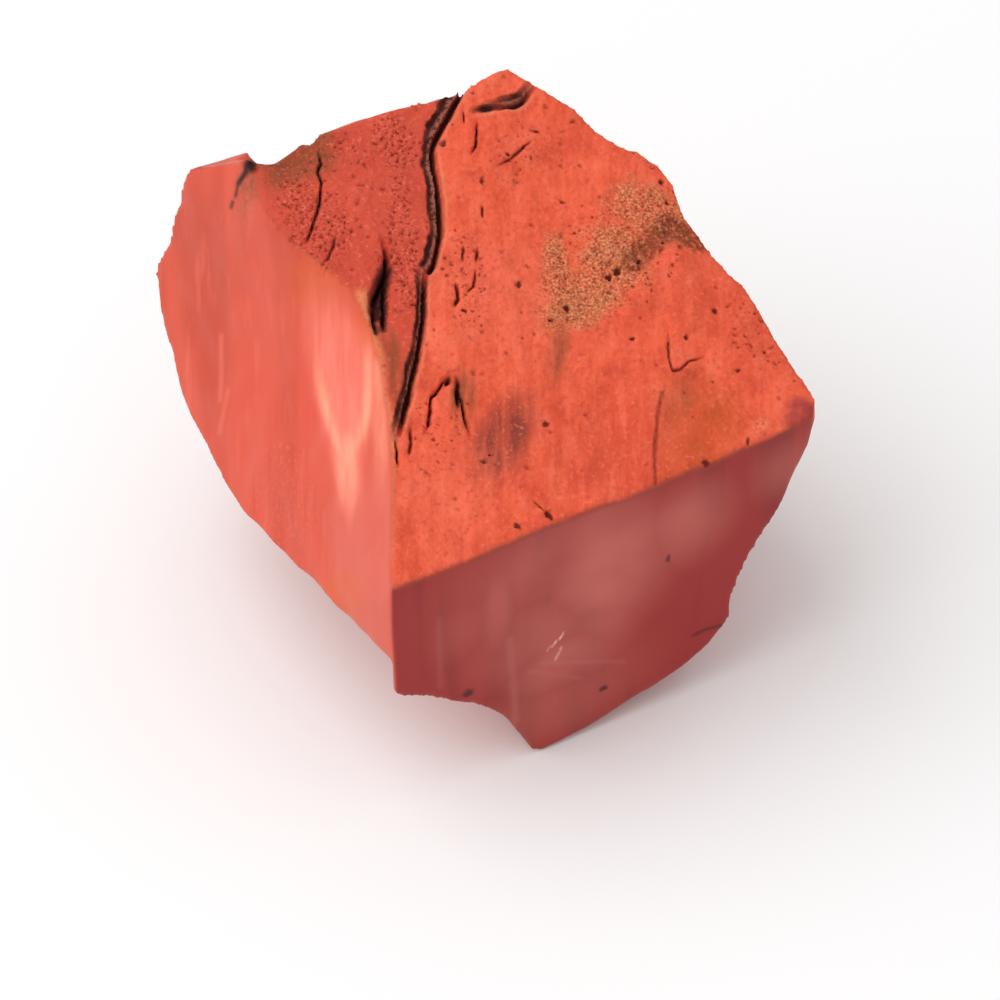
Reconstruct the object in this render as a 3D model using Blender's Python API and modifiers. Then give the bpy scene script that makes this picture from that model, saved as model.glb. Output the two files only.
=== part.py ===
"""Rough red jasper: a fist of stone about 40 mm across, broken on five sides and sawn on one.

The stone stands on its flat underside. +X is to the right of the sawn face's viewer, +Y goes away from
them, +Z is up, and the origin is under the middle of the stone's box. All sizes below are millimetres.
"""

import math

import bmesh
import bpy
import numpy as np
from mathutils import Vector, kdtree, noise

MM = 0.001
NAME = "jasper_stone"

# Driving sizes
FRONT_CORNER = Vector((-5.3, -18.0, 19.6))  # where rind, sawn face and left face meet
RIND_SLOPE = (-0.188, 0.400)  # rise of the rind per mm of +X and of +Y
SAW_HEADING = math.radians(28.3)  # the saw cut runs this much away from +X
NET_MM = 0.32  # mesh of the net that carries the relief
TRIANGLES = 7600  # what the net is thinned to, with the flat ground losing most

# Corners of the uncut block. Those on the rind give x, y; those on the saw cut give the way along it, z.
RIND_RIM = (
    (20.3, -3.1), (19.6, -1.8), (16.0, 2.8), (11.1, 10.6), (3.2, 14.5), (1.7, 15.2), (-14.2, 7.1),
)
SAWN_RIM = ((0.2, 10.4), (10.2, 0.0), (20.5, 2.8), (22.2, 3.7), (23.3, 5.2), (28.6, 18.2))
SAWN_LENGTH = 28.7
RIGHT_CORNERS = ((20.1, -3.0, 17.6), (20.4, -2.9, 19.0))
LEFT_RIM = (
    (-18.4, 9.9, 27.6), (-19.4, 10.0, 21.4), (-20.7, 10.5, 18.8), (-20.5, 9.9, 16.9), (-19.7, 7.4, 13.8),
    (-18.6, 4.6, 12.3), (-16.1, -0.6, 11.2), (-13.7, -5.1, 11.1), (-9.4, -11.3, 12.6), (-7.0, -15.8, 13.8),
)
UNDER_LEFT = ((-15.5, 9.5, 6.0), (-12.0, 1.8, 4.5))
BACK_CORNERS = (
    (-13.6, 14.0, 12.0), (-3.6, 18.0, 14.0), (6.4, 17.0, 13.0), (14.9, 9.5, 12.0), (17.9, 2.0, 10.0),
)
BASE_OUTLINE = (
    (-3.1, -7.0), (-9.2, 3.5), (-11.6, 11.0), (0.4, 16.0), (11.4, 10.0), (13.9, 0.0), (9.4, -8.5),
)

# The flat face it stands on, as x, y, and the worn rim round it
FOOT = (
    (3.8, -12.6), (8.8, -8.4), (12.4, -2.0), (11.0, 9.8), (0.3, 15.1), (-11.0, 10.5), (-4.0, -2.2),
)
FOOT_RISE = 0.5  # how much the rim rises per mm outwards
GROUND_OFF_MM = 0.1  # how much of the underside the flat face takes off

# Flakes knocked off the block: name, centre, radius, how many faces round the cutter
FLAKES = (
    ("cut_under_front", (-11.5, -18.9, -5.3), 16.7, 4),
    ("cut_right_low", (25.2, 2.9, 4.4), 13.9, 4),
    ("cut_rim_notch", (-13.2, 9.8, 30.4), 3.2, 3),
    ("cut_rim_back", (-10.2, 29.4, 32.9), 18.3, 4),
    ("cut_rim_right", (28.0, 16.9, 24.0), 18.1, 4),
    ("cut_back_low", (2.4, 36.0, 4.0), 21.0, 5),
    ("cut_back_left", (-24.0, 26.0, 8.0), 17.5, 4),
)
# What broke away under the left rim left a straight-sided notch, which ends at the edge of the saw cut
UNDER_NOTCH = (
    (-5.3, -19.5, 14.6), (-5.3, 5.5, -5.4), (-5.3, -35.0, -5.4), (-5.3, -35.0, 14.6),
    (-17.0, 0.4, 10.6), (-17.0, 25.4, -9.4), (-37.0, -15.0, 10.6), (-37.0, 10.0, -9.4),
)
# A nick between the left tip and the rind: its outline across and up as seen from the front and above, and
# how far it reaches along that line of sight
NICK_OUTLINE = ((-14.4, 27.5), (-13.9, 27.0), (-12.9, 27.05), (-11.5, 28.2), (-11.5, 30.5), (-14.4, 30.5))
NICK_REACH = (-19.0, -2.0)
# The left face is one smooth break, hollowed like the inside of a shell. It is a thin bending sheet laid
# through places on the rim of the rind, on the stone's outline and on the edge of the saw cut.
LEFT_RIND_EDGE = (
    (-16.0, 9.5), (-14.3, 6.9), (-13.1, 4.2), (-11.3, 2.1), (-9.2, 0.7), (-7.4, -1.1), (-6.2, -4.3), (-5.5, -8.0),
    (-5.3, -12.0), (-5.3, -15.5), (-5.3, -18.0),
)
LEFT_OUTLINE = (
    (-18.1, 9.9, 27.4), (-18.6, 10.1, 24.8), (-19.5, 10.3, 21.2), (-20.6, 10.7, 18.6), (-19.9, 8.6, 14.6),
    (-18.6, 4.8, 12.1), (-16.0, -0.4, 11.0), (-13.6, -4.9, 10.9), (-9.4, -11.1, 12.4), (-6.9, -15.6, 13.6),
)
LEFT_SAW_EDGE = ((-5.3, -18.0, 15.0), (-5.3, -18.0, 10.5))
SHEET_SLACK = 1.0  # how freely the sheet may miss its places: 0 goes through each of them
SHEET_FROM, SHEET_TO, SHEET_STEP_MM = (-26.0, -11.0), (-1.0, 32.0), 0.5  # its reach across and up the view

# Grooves in the rind, as x, y seen from above. A groove's floor slopes down to its path from the left
# of the path's direction, over floor_mm, and its wall stands on the right, over wall_mm.
GROOVES = {
    "crack top": dict(
        path=((-4.9, -9.2), (-4.6, -6.6), (-4.3, -5.0), (-3.9, -3.3), (-3.75, -1.6), (-3.45, 0.3), (-3.7, 2.2)),
        floor_mm=0.7, wall_mm=0.25, depth_mm=1.0, taper_mm=1.5,
    ),
    "crack middle": dict(
        path=((-3.4, 1.7), (-2.7, 3.5), (-2.5, 4.5), (-2.6, 7.1), (-3.0, 9.5), (-3.2, 10.5), (-3.0, 11.3), (-2.5, 12.4)),
        floor_mm=0.7, wall_mm=0.25, depth_mm=1.0, taper_mm=0.6,
    ),
    "crack rim": dict(
        path=((-2.8, 10.8), (-2.4, 11.5), (-1.9, 12.5), (-0.9, 14.0)),
        floor_mm=0.5, wall_mm=0.25, depth_mm=1.0, taper_mm=0.5,
    ),
    "ledge": dict(
        path=((-0.6, 12.2), (0.8, 12.8), (2.5, 13.4), (3.5, 14.2)),
        floor_mm=0.85, wall_mm=0.25, depth_mm=0.7, taper_mm=0.8,
    ),
    "short crack": dict(
        path=((-0.4, 9.1), (-0.3, 10.6), (-0.3, 11.4)), floor_mm=0.3, wall_mm=0.25, depth_mm=0.6, taper_mm=0.5,
    ),
    "fork left": dict(
        path=((-3.3, -8.4), (-2.9, -6.0), (-1.75, -4.4)), floor_mm=0.35, wall_mm=0.35, depth_mm=0.7, taper_mm=0.8,
    ),
    "fork right": dict(
        path=((-0.7, -8.1), (-1.1, -6.0), (-1.4, -4.4)), floor_mm=0.35, wall_mm=0.35, depth_mm=0.7, taper_mm=0.8,
    ),
    "pocket": dict(
        path=((-6.3, -1.9), (-6.5, -0.2), (-6.0, 1.2), (-5.6, 2.3), (-5.9, 2.8)),
        floor_mm=0.5, wall_mm=0.5, depth_mm=1.4, taper_mm=0.8,
    ),
    "left crack": dict(
        path=((-10.7, 2.2), (-9.7, 5.8), (-9.9, 8.6)), floor_mm=0.3, wall_mm=0.3, depth_mm=0.35, taper_mm=1.0,
    ),
    "right crack": dict(
        path=((10.4, -9.3), (10.6, -5.9), (11.0, -3.8)), floor_mm=0.45, wall_mm=0.3, depth_mm=0.35, taper_mm=1.0,
    ),
}
# Steps in the rind: the ground on the right of the path stands rise_mm higher and eases back over reach_mm
STEPS = {
    "upper step": dict(path=((8.4, -0.5), (8.4, 0.9), (9.7, 3.4), (10.5, 4.1), (12.9, 5.6)), rise_mm=0.35, reach_mm=5.0),
    "lower step": dict(path=((11.5, -2.6), (11.5, -0.5), (11.9, -1.8), (12.6, -1.6), (13.6, -1.2)), rise_mm=0.25, reach_mm=3.0),
}
FRONT_EDGE = ((-5.3, -19.0), (-5.3, -9.0))  # the straight edge between rind and left face
LUMPS = ((6.0, 0.30), (2.6, 0.12))  # size and height of the rind's swellings
BREAK_LUMPS = ((7.0, 0.45), (2.8, 0.22))  # the same on the hidden broken faces
WANDER = ((7.0, 0.30), (2.2, 0.16))  # how far edges wander from straight
FADE_MM = 3.0  # the broken faces calm down this near the ones that are seen
RIND_DEPTH_MM = 2.5  # how far down the sides the rind's relief dies out
GRIP_MM = 0.5  # points this near a flat face stay in it
CALM_MM = 2.5  # the long front edge of the rind runs straight, so nothing wanders this near it
SEEN_FROM = Vector((0.0, -1.0, 1.0)).normalized()
SEEN_UP = Vector((0.0, 1.0, 1.0)).normalized()

SAW_ALONG = Vector((math.cos(SAW_HEADING), math.sin(SAW_HEADING), 0.0))
SAW_NORMAL = Vector((math.sin(SAW_HEADING), -math.cos(SAW_HEADING), 0.0))
RIND_NORMAL = Vector((-RIND_SLOPE[0], -RIND_SLOPE[1], 1.0)).normalized()


def rind_height(x, y):
    """Height of the unworn rind plane above x, y."""
    return FRONT_CORNER.z + RIND_SLOPE[0] * (x - FRONT_CORNER.x) + RIND_SLOPE[1] * (y - FRONT_CORNER.y)


def on_saw_cut(along, height):
    point = FRONT_CORNER + SAW_ALONG * along
    return Vector((point.x, point.y, height))


def block_corners():
    corners = [FRONT_CORNER]
    corners += [Vector((x, y, rind_height(x, y))) for x, y in RIND_RIM]
    corners += [on_saw_cut(along, height) for along, height in SAWN_RIM]
    end = on_saw_cut(SAWN_LENGTH, 0.0)
    corners.append(Vector((end.x, end.y, rind_height(end.x, end.y))))
    corners += [Vector(p) for p in RIGHT_CORNERS + LEFT_RIM + UNDER_LEFT + BACK_CORNERS]
    corners += [Vector((x, y, 0.0)) for x, y in BASE_OUTLINE]
    return corners


def new_object(name, bm, collection):
    mesh = bpy.data.meshes.new(name)
    bm.to_mesh(mesh)
    bm.free()
    obj = bpy.data.objects.new(name, mesh)
    collection.objects.link(obj)
    return obj


def make_block(collection):
    bm = bmesh.new()
    for corner in block_corners():
        bm.verts.new(corner)
    made = bmesh.ops.convex_hull(bm, input=bm.verts[:])
    bmesh.ops.delete(bm, geom=[v for v in made["geom_interior"] if isinstance(v, bmesh.types.BMVert)])
    bmesh.ops.dissolve_limit(bm, angle_limit=math.radians(0.5), verts=bm.verts[:], edges=bm.edges[:])
    bmesh.ops.recalc_face_normals(bm, faces=bm.faces[:])
    return new_object(NAME, bm, collection)


def as_cutter(obj):
    obj.hide_render = True
    obj.display_type = "WIRE"
    return obj


def make_ball(name, centre, radius, detail, collection):
    bm = bmesh.new()
    bmesh.ops.create_icosphere(bm, subdivisions=detail, radius=radius)
    bmesh.ops.translate(bm, vec=Vector(centre), verts=bm.verts[:])
    bmesh.ops.recalc_face_normals(bm, faces=bm.faces[:])
    return as_cutter(new_object(name, bm, collection))


def make_notch(name, corners, collection):
    bm = bmesh.new()
    for corner in corners:
        bm.verts.new(corner)
    bmesh.ops.convex_hull(bm, input=bm.verts[:])
    bmesh.ops.recalc_face_normals(bm, faces=bm.faces[:])
    return as_cutter(new_object(name, bm, collection))


def nick_corners():
    return [
        Vector((x, 0.0, 0.0)) + SEEN_UP * up - SEEN_FROM * far for x, up in NICK_OUTLINE for far in NICK_REACH
    ]


def seen_plan(points):
    """Places as seen from the front and above: across, up and how far away."""
    points = np.array(points, float)
    return np.stack([points[:, 0], points @ np.array(SEEN_UP), points @ -np.array(SEEN_FROM)], axis=1)


def bending(distance):
    distance = np.maximum(distance, 1e-9)
    return distance**2 * np.log(distance)


def left_sheet():
    """Gives the function from across and up to the sheet's distance: the least bent sheet near its places."""
    places = [(x, y, rind_height(x, y)) for x, y in LEFT_RIND_EDGE]
    places = seen_plan(places + list(LEFT_OUTLINE + LEFT_SAW_EDGE))
    here, far = places[:, :2], places[:, 2]
    count = len(here)
    pull = bending(np.linalg.norm(here[:, None] - here[None], axis=2)) + SHEET_SLACK * np.eye(count)
    slope = np.hstack([np.ones((count, 1)), here])
    system = np.block([[pull, slope], [slope.T, np.zeros((3, 3))]])
    weights = np.linalg.solve(system, np.concatenate([far, np.zeros(3)]))

    def distance_at(plan):
        reach = bending(np.linalg.norm(plan[:, None] - here[None], axis=2))
        return reach @ weights[:count] + np.hstack([np.ones((len(plan), 1)), plan]) @ weights[count:]

    return distance_at


def make_left_cutter(collection):
    """A grid bent to the sheet and drawn out towards the viewer."""
    (low_x, low_up), (high_x, high_up) = SHEET_FROM, SHEET_TO
    bm = bmesh.new()
    cells = [round((high_x - low_x) / SHEET_STEP_MM), round((high_up - low_up) / SHEET_STEP_MM)]
    bmesh.ops.create_grid(bm, x_segments=cells[0], y_segments=cells[1], size=0.5)
    plan = np.array([vert.co[:2] for vert in bm.verts]) + 0.5
    plan = plan * (high_x - low_x, high_up - low_up) + (low_x, low_up)
    for vert, (x, up), far in zip(bm.verts, plan, left_sheet()(plan)):
        vert.co = Vector((x, 0.0, 0.0)) + SEEN_UP * up - SEEN_FROM * far
    drawn = bmesh.ops.extrude_face_region(bm, geom=bm.faces[:])
    front = [v for v in drawn["geom"] if isinstance(v, bmesh.types.BMVert)]
    bmesh.ops.translate(bm, vec=SEEN_FROM * 60.0, verts=front)
    bmesh.ops.recalc_face_normals(bm, faces=bm.faces[:])
    return as_cutter(new_object("cut_left_face", bm, collection))


def make_foot(collection):
    """A wide cup with the foot as its bottom: what lies outside it is worn off the stone's lower edges."""
    corners = [Vector((x, y, 0.0)) for x, y in FOOT]
    runs = [(corners[(i + 1) % len(corners)] - corners[i]).normalized() for i in range(len(corners))]
    outward = [Vector((run.y, -run.x, 0.0)) for run in runs]
    bm = bmesh.new()
    for i, corner in enumerate(corners):
        before, after = outward[i - 1], outward[i]
        wide = corner + (before + after) * 40.0 / (1 + before.dot(after))
        for place in (corner, wide + Vector((0, 0, 40.0 * FOOT_RISE)), wide + Vector((0, 0, 60.0))):
            bm.verts.new(place * MM)
    bmesh.ops.convex_hull(bm, input=bm.verts[:])
    bmesh.ops.recalc_face_normals(bm, faces=bm.faces[:])
    return as_cutter(new_object("keep_inside_foot_cup", bm, collection))


def cut_block(block, cutters):
    """Takes every flake off the block and lays an even net of small faces over what is left."""
    for cutter in cutters:
        cut = block.modifiers.new(cutter.name, "BOOLEAN")
        cut.operation = "DIFFERENCE"
        cut.solver = "EXACT"
        cut.object = cutter
    net = block.modifiers.new("even net", "REMESH")
    net.mode = "VOXEL"
    net.voxel_size = NET_MM
    bpy.context.view_layer.update()
    evaluated = block.evaluated_get(bpy.context.evaluated_depsgraph_get())
    bm = bmesh.new()
    bm.from_mesh(evaluated.to_mesh())
    evaluated.to_mesh_clear()
    block.modifiers.clear()
    return bm


def path_measure(points, path):
    """Signed distance of each point from the path (right of it is positive), and the way left to its nearer end."""
    path = np.array(path, float)
    best = np.full(len(points), np.inf)
    side = np.ones(len(points))
    way = np.zeros(len(points))
    walked = np.concatenate([[0.0], np.cumsum(np.linalg.norm(np.diff(path, axis=0), axis=1))])
    for i in range(len(path) - 1):
        start, run = path[i], path[i + 1] - path[i]
        length = np.linalg.norm(run)
        t = np.clip(((points - start) @ run) / length**2, 0.0, 1.0)
        offset = points - (start + t[:, None] * run)
        distance = np.linalg.norm(offset, axis=1)
        nearer = distance < best
        best[nearer] = distance[nearer]
        side[nearer] = np.sign(offset[:, 0] * run[1] - offset[:, 1] * run[0])[nearer]
        way[nearer] = (walked[i] + t * length)[nearer]
    return best * np.where(side == 0, 1, side), np.minimum(way, walked[-1] - way)


def groove_depth(plan):
    """How deep the grooves go below each point of the rind, the deepest one winning."""
    deepest = np.zeros(len(plan))
    for groove in GROOVES.values():
        across, to_end = path_measure(plan, groove["path"])
        floor = 1 + across / groove["floor_mm"]
        wall = 1 - across / groove["wall_mm"]
        open_share = np.clip(np.where(across < 0, floor, wall), 0, 1)
        taper = np.clip(0.25 + to_end / groove["taper_mm"], 0, 1)
        deepest = np.maximum(deepest, groove["depth_mm"] * open_share * taper)
    return deepest


def step_rise(plan):
    rise = np.zeros(len(plan))
    for step in STEPS.values():
        across, to_end = path_measure(plan, step["path"])
        up = np.clip(across / 0.5, 0, 1) * np.clip(1 - across / step["reach_mm"], 0, 1)
        rise += step["rise_mm"] * up * np.clip(to_end / 1.5, 0, 1)
    return rise


def lumps(points, layers, seed):
    """Smooth swellings: the sum of noise layers of the given size and height."""
    total = np.zeros(len(points))
    for size, height in layers:
        shift = Vector((seed, 3.7 * seed, -seed))
        total += height * np.array([noise.noise(Vector(p) / size + shift) for p in points])
    return total


def wander(points):
    """A slow drift of every point, so that edges and silhouettes aren't straight."""
    axes = [lumps(points, WANDER, seed) for seed in (11.3, 23.9, 37.1)]
    calm = np.abs(path_measure(points[:, :2], FRONT_EDGE)[0]) / CALM_MM
    return np.stack(axes, axis=1) * np.clip(calm, 0.15, 1.0)[:, None]


def hidden_share(points, normals):
    """0 on and beside the faces that are seen from the front and above, 1 well away from them."""
    seen = points[normals @ np.array(SEEN_FROM) > 0]
    tree = kdtree.KDTree(len(seen))
    for i, point in enumerate(seen):
        tree.insert(point, i)
    tree.balance()
    return np.clip(np.array([tree.find(point)[2] for point in points]) / FADE_MM, 0, 1)


def held_flat(move, points, origin, facing):
    """Takes away the part of a move that would lift points off a flat face."""
    facing = np.array(facing)
    away = np.abs((points - np.array(origin)) @ facing)
    grip = np.clip(1 - away / GRIP_MM, 0, 1)
    return move - np.outer(grip * (move @ facing), facing)


def weather(bm):
    """Moves the points: edges wander, the rind gets its relief and the broken faces their lumps."""
    bm.normal_update()
    normals = np.array([vert.normal for vert in bm.verts])
    points = np.array([vert.co for vert in bm.verts])
    drift = wander(points)
    plan = (points + drift)[:, :2]
    below_rind = np.abs((points - np.array(FRONT_CORNER)) @ np.array(RIND_NORMAL))
    relief = lumps(points, LUMPS, 5.1) + step_rise(plan) - groove_depth(plan)
    relief *= np.clip(1.2 - below_rind / RIND_DEPTH_MM, 0, 1)

    move = drift + np.outer(relief, RIND_NORMAL)
    broken = hidden_share(points, normals) * lumps(points, BREAK_LUMPS, 8.3)
    move += normals * broken[:, None]
    move = held_flat(move, points, FRONT_CORNER, SAW_NORMAL)
    move = held_flat(move, points, (0, 0, 0), (0, 0, 1))
    points = points + move
    points[:, 2] = np.maximum(points[:, 2], 0.0)
    for vert, point in zip(bm.verts, points):
        vert.co = point


def centre_and_scale(bm):
    """Puts the origin under the middle of the stone's box and turns millimetres into metres."""
    points = np.array([vert.co for vert in bm.verts])
    low, high = points.min(axis=0), points.max(axis=0)
    middle = (low + high) / 2
    print("middle of the box before centring, mm:", middle.round(2), "size", (high - low).round(2))
    bmesh.ops.translate(bm, vec=Vector((-middle[0], -middle[1], -low[2] - GROUND_OFF_MM)), verts=bm.verts[:])
    bmesh.ops.scale(bm, vec=Vector((MM, MM, MM)), verts=bm.verts[:])


def jasper_material():
    material = bpy.data.materials.new("jasper")
    material.use_nodes = True
    shader = material.node_tree.nodes["Principled BSDF"]
    shader.inputs["Base Color"].default_value = (0.72, 0.10, 0.05, 1.0)
    shader.inputs["Roughness"].default_value = 0.7
    material.diffuse_color = (0.72, 0.10, 0.05, 1.0)
    return material


def main():
    for obj in list(bpy.data.objects):
        bpy.data.objects.remove(obj, do_unlink=True)
    stone_parts = bpy.data.collections.new("red jasper")
    cutter_parts = bpy.data.collections.new("cutters")
    for collection in (stone_parts, cutter_parts):
        bpy.context.scene.collection.children.link(collection)

    block = make_block(stone_parts)
    cutters = [make_ball(*flake, cutter_parts) for flake in FLAKES]
    cutters.append(make_notch("cut_under_left", UNDER_NOTCH, cutter_parts))
    cutters.append(make_notch("cut_rim_nick", nick_corners(), cutter_parts))
    cutters.append(make_left_cutter(cutter_parts))
    bm = cut_block(block, cutters)
    weather(bm)
    centre_and_scale(bm)
    bmesh.ops.recalc_face_normals(bm, faces=bm.faces[:])
    bmesh.ops.triangulate(bm, faces=bm.faces[:])
    count = len(bm.faces)
    bm.to_mesh(block.data)
    bm.free()
    block.data.materials.append(jasper_material())
    thin = block.modifiers.new("thin out", "DECIMATE")
    thin.ratio = TRIANGLES / count
    flat = block.modifiers.new("flat foot", "BOOLEAN")
    flat.operation = "INTERSECT"
    flat.solver = "EXACT"
    flat.object = make_foot(cutter_parts)
    for polygon in block.data.polygons:
        polygon.use_smooth = True
    block.data.set_sharp_from_angle(angle=math.radians(35))
    print("triangles before thinning:", count)


main()
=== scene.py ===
# %% [markdown]
# # A rough piece of red jasper, from its block to its last hairline
# Red jasper is chalcedony, a very fine quartz, coloured through and through by iron oxide. This piece has a
# dull weathered rind on top, one face broken smooth like the inside of a shell, one face cut by a saw, and
# broken faces all round the back. The solid model that this scene starts from already has those faces, the
# ledges and the main crack. The scene builds the same stone again from the same sizes with a much finer net,
# adds what a solid is too coarse for, and gives each face the finish that the real one has.

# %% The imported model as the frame
import math

import bmesh
import bpy
import numpy as np
from mathutils import Matrix, Vector, kdtree, noise


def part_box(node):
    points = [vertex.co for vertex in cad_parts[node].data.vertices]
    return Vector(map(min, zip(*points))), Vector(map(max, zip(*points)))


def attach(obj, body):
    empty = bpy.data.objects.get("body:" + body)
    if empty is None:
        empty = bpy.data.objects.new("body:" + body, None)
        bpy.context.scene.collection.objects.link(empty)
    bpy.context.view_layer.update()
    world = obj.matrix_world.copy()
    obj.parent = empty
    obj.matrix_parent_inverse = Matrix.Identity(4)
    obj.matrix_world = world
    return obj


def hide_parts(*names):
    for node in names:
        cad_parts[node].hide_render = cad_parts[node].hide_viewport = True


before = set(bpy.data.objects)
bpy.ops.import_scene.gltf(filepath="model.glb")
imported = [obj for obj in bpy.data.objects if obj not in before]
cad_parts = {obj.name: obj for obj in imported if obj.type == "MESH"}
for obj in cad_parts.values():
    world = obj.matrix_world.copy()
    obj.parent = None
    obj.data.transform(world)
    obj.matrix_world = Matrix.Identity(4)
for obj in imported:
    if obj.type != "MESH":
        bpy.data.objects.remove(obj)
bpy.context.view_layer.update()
node_low, node_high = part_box("jasper_stone")
MM = 0.001

# %% [markdown]
# ## The block before any flake left it
# A broken stone is close to a convex block with hollows, so a convex hull round a few corners gives its big
# flat faces at once. The corners are written where they are easy to measure: on the rind by their place seen
# from above, on the saw cut by the way along it and the height. All sizes here are millimetres.

# %% Corners of the block
FRONT_CORNER = Vector((-5.3, -18.0, 19.6))  # where rind, sawn face and left face meet
RIND_SLOPE = (-0.188, 0.400)  # rise of the rind per mm of +X and of +Y
SAW_HEADING = math.radians(28.3)  # the saw cut runs this much away from +X
SAW_ALONG = Vector((math.cos(SAW_HEADING), math.sin(SAW_HEADING), 0.0))
SAW_NORMAL = Vector((math.sin(SAW_HEADING), -math.cos(SAW_HEADING), 0.0))
RIND_NORMAL = Vector((-RIND_SLOPE[0], -RIND_SLOPE[1], 1.0)).normalized()

RIND_RIM = (
    (20.3, -3.1), (19.6, -1.8), (16.0, 2.8), (11.1, 10.6), (3.2, 14.5), (1.7, 15.2), (-14.2, 7.1),
)
SAWN_RIM = ((0.2, 10.4), (10.2, 0.0), (20.5, 2.8), (22.2, 3.7), (23.3, 5.2), (28.6, 18.2))
SAWN_LENGTH = 28.7
RIGHT_CORNERS = ((20.1, -3.0, 17.6), (20.4, -2.9, 19.0))
LEFT_RIM = (
    (-18.4, 9.9, 27.6), (-19.4, 10.0, 21.4), (-20.7, 10.5, 18.8), (-20.5, 9.9, 16.9), (-19.7, 7.4, 13.8),
    (-18.6, 4.6, 12.3), (-16.1, -0.6, 11.2), (-13.7, -5.1, 11.1), (-9.4, -11.3, 12.6), (-7.0, -15.8, 13.8),
)
UNDER_LEFT = ((-15.5, 9.5, 6.0), (-12.0, 1.8, 4.5))
BACK_CORNERS = (
    (-13.6, 14.0, 12.0), (-3.6, 18.0, 14.0), (6.4, 17.0, 13.0), (14.9, 9.5, 12.0), (17.9, 2.0, 10.0),
)
BASE_OUTLINE = (
    (-3.1, -7.0), (-9.2, 3.5), (-11.6, 11.0), (0.4, 16.0), (11.4, 10.0), (13.9, 0.0), (9.4, -8.5),
)
FLAT_WITHIN = math.radians(0.5)  # faces of the hull that turn by less than this become one


def rind_height(x, y):
    """Height of the unworn rind plane above x, y."""
    return FRONT_CORNER.z + RIND_SLOPE[0] * (x - FRONT_CORNER.x) + RIND_SLOPE[1] * (y - FRONT_CORNER.y)


def on_saw_cut(along, height):
    point = FRONT_CORNER + SAW_ALONG * along
    return Vector((point.x, point.y, height))


def block_corners():
    corners = [FRONT_CORNER]
    corners += [Vector((x, y, rind_height(x, y))) for x, y in RIND_RIM]
    corners += [on_saw_cut(along, height) for along, height in SAWN_RIM]
    end = on_saw_cut(SAWN_LENGTH, 0.0)
    corners.append(Vector((end.x, end.y, rind_height(end.x, end.y))))
    corners += [Vector(p) for p in RIGHT_CORNERS + LEFT_RIM + UNDER_LEFT + BACK_CORNERS]
    corners += [Vector((x, y, 0.0)) for x, y in BASE_OUTLINE]
    return corners


def new_object(name, bm):
    mesh = bpy.data.meshes.new(name)
    bm.to_mesh(mesh)
    bm.free()
    obj = bpy.data.objects.new(name, mesh)
    bpy.context.scene.collection.objects.link(obj)
    return obj


def make_block():
    bm = bmesh.new()
    for corner in block_corners():
        bm.verts.new(corner)
    made = bmesh.ops.convex_hull(bm, input=bm.verts[:])
    bmesh.ops.delete(bm, geom=[v for v in made["geom_interior"] if isinstance(v, bmesh.types.BMVert)])
    bmesh.ops.dissolve_limit(bm, angle_limit=FLAT_WITHIN, verts=bm.verts[:], edges=bm.edges[:])
    bmesh.ops.recalc_face_normals(bm, faces=bm.faces[:])
    return new_object("jasper_chunk", bm)


stone = make_block()
print("block:", len(stone.data.polygons), "faces")

# %% [markdown]
# ## The flakes that came off
# Jasper has no grain to split along, so it breaks in shallow curved hollows. Cutting with large balls makes
# exactly such hollows. The big smooth left face is a bending sheet: the least bent one that passes near its
# places on the rim of the rind, on the outline and on the saw's edge. The cut block then gets an even net of
# small faces, because every later step moves points and needs points to move.

# %% Flakes and the even net
TIP_HOLLOW = ((-12.4, 9.9, 30.4), 2.8, 3)  # the hollow between the rind and the left tip
FLAKES = (  # centre, radius, how many faces round the cutter
    ((-11.5, -18.9, -5.3), 16.7, 4),
    ((25.2, 2.9, 4.4), 13.9, 4),
    TIP_HOLLOW,
    ((9.8, 16.3, 29.2), 5.1, 4),
    ((-10.2, 29.4, 32.9), 18.3, 4),
    ((28.0, 16.9, 24.0), 18.1, 4),
    ((2.4, 36.0, 4.0), 21.0, 5),
    ((-24.0, 26.0, 8.0), 17.5, 4),
)
UNDER_NOTCH = (  # corners of the straight-sided piece that broke away under the left rim
    (-5.3, -19.5, 14.6), (-5.3, 5.5, -5.4), (-5.3, -35.0, -5.4), (-5.3, -35.0, 14.6),
    (-17.0, 0.4, 10.6), (-17.0, 25.4, -9.4), (-37.0, -15.0, 10.6), (-37.0, 10.0, -9.4),
)
NICK_OUTLINE = (  # the nick beside the left tip, across and up as seen from the front and above
    (-14.4, 27.5), (-13.9, 27.0), (-12.9, 27.05), (-11.5, 28.2), (-11.5, 30.5), (-14.4, 30.5),
)
NICK_REACH = (-19.0, -2.0)  # how far it goes along that line of sight
LEFT_RIND_EDGE = (
    (-16.0, 9.5), (-14.3, 6.9), (-13.1, 4.2), (-11.3, 2.1), (-9.2, 0.7), (-7.4, -1.1), (-6.2, -4.3),
    (-5.5, -8.0), (-5.3, -12.0), (-5.3, -15.5), (-5.3, -18.0),
)
LEFT_OUTLINE = (
    (-18.1, 9.9, 27.4), (-18.6, 10.1, 24.8), (-19.5, 10.3, 21.2), (-20.6, 10.7, 18.6), (-19.9, 8.6, 14.6),
    (-18.6, 4.8, 12.1), (-16.0, -0.4, 11.0), (-13.6, -4.9, 10.9), (-9.4, -11.1, 12.4), (-6.9, -15.6, 13.6),
)
LEFT_SAW_EDGE = ((-5.3, -18.0, 15.0), (-5.3, -18.0, 10.5))
SHEET_SLACK = 1.0  # how freely the sheet may miss its places: 0 goes through each of them
SHEET_FROM, SHEET_TO, SHEET_STEP_MM = (-26.0, -11.0), (-1.0, 32.0), 0.5  # its reach across and up the view
SEEN_FROM = Vector((0.0, -1.0, 1.0)).normalized()
SEEN_UP = Vector((0.0, 1.0, 1.0)).normalized()
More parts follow.
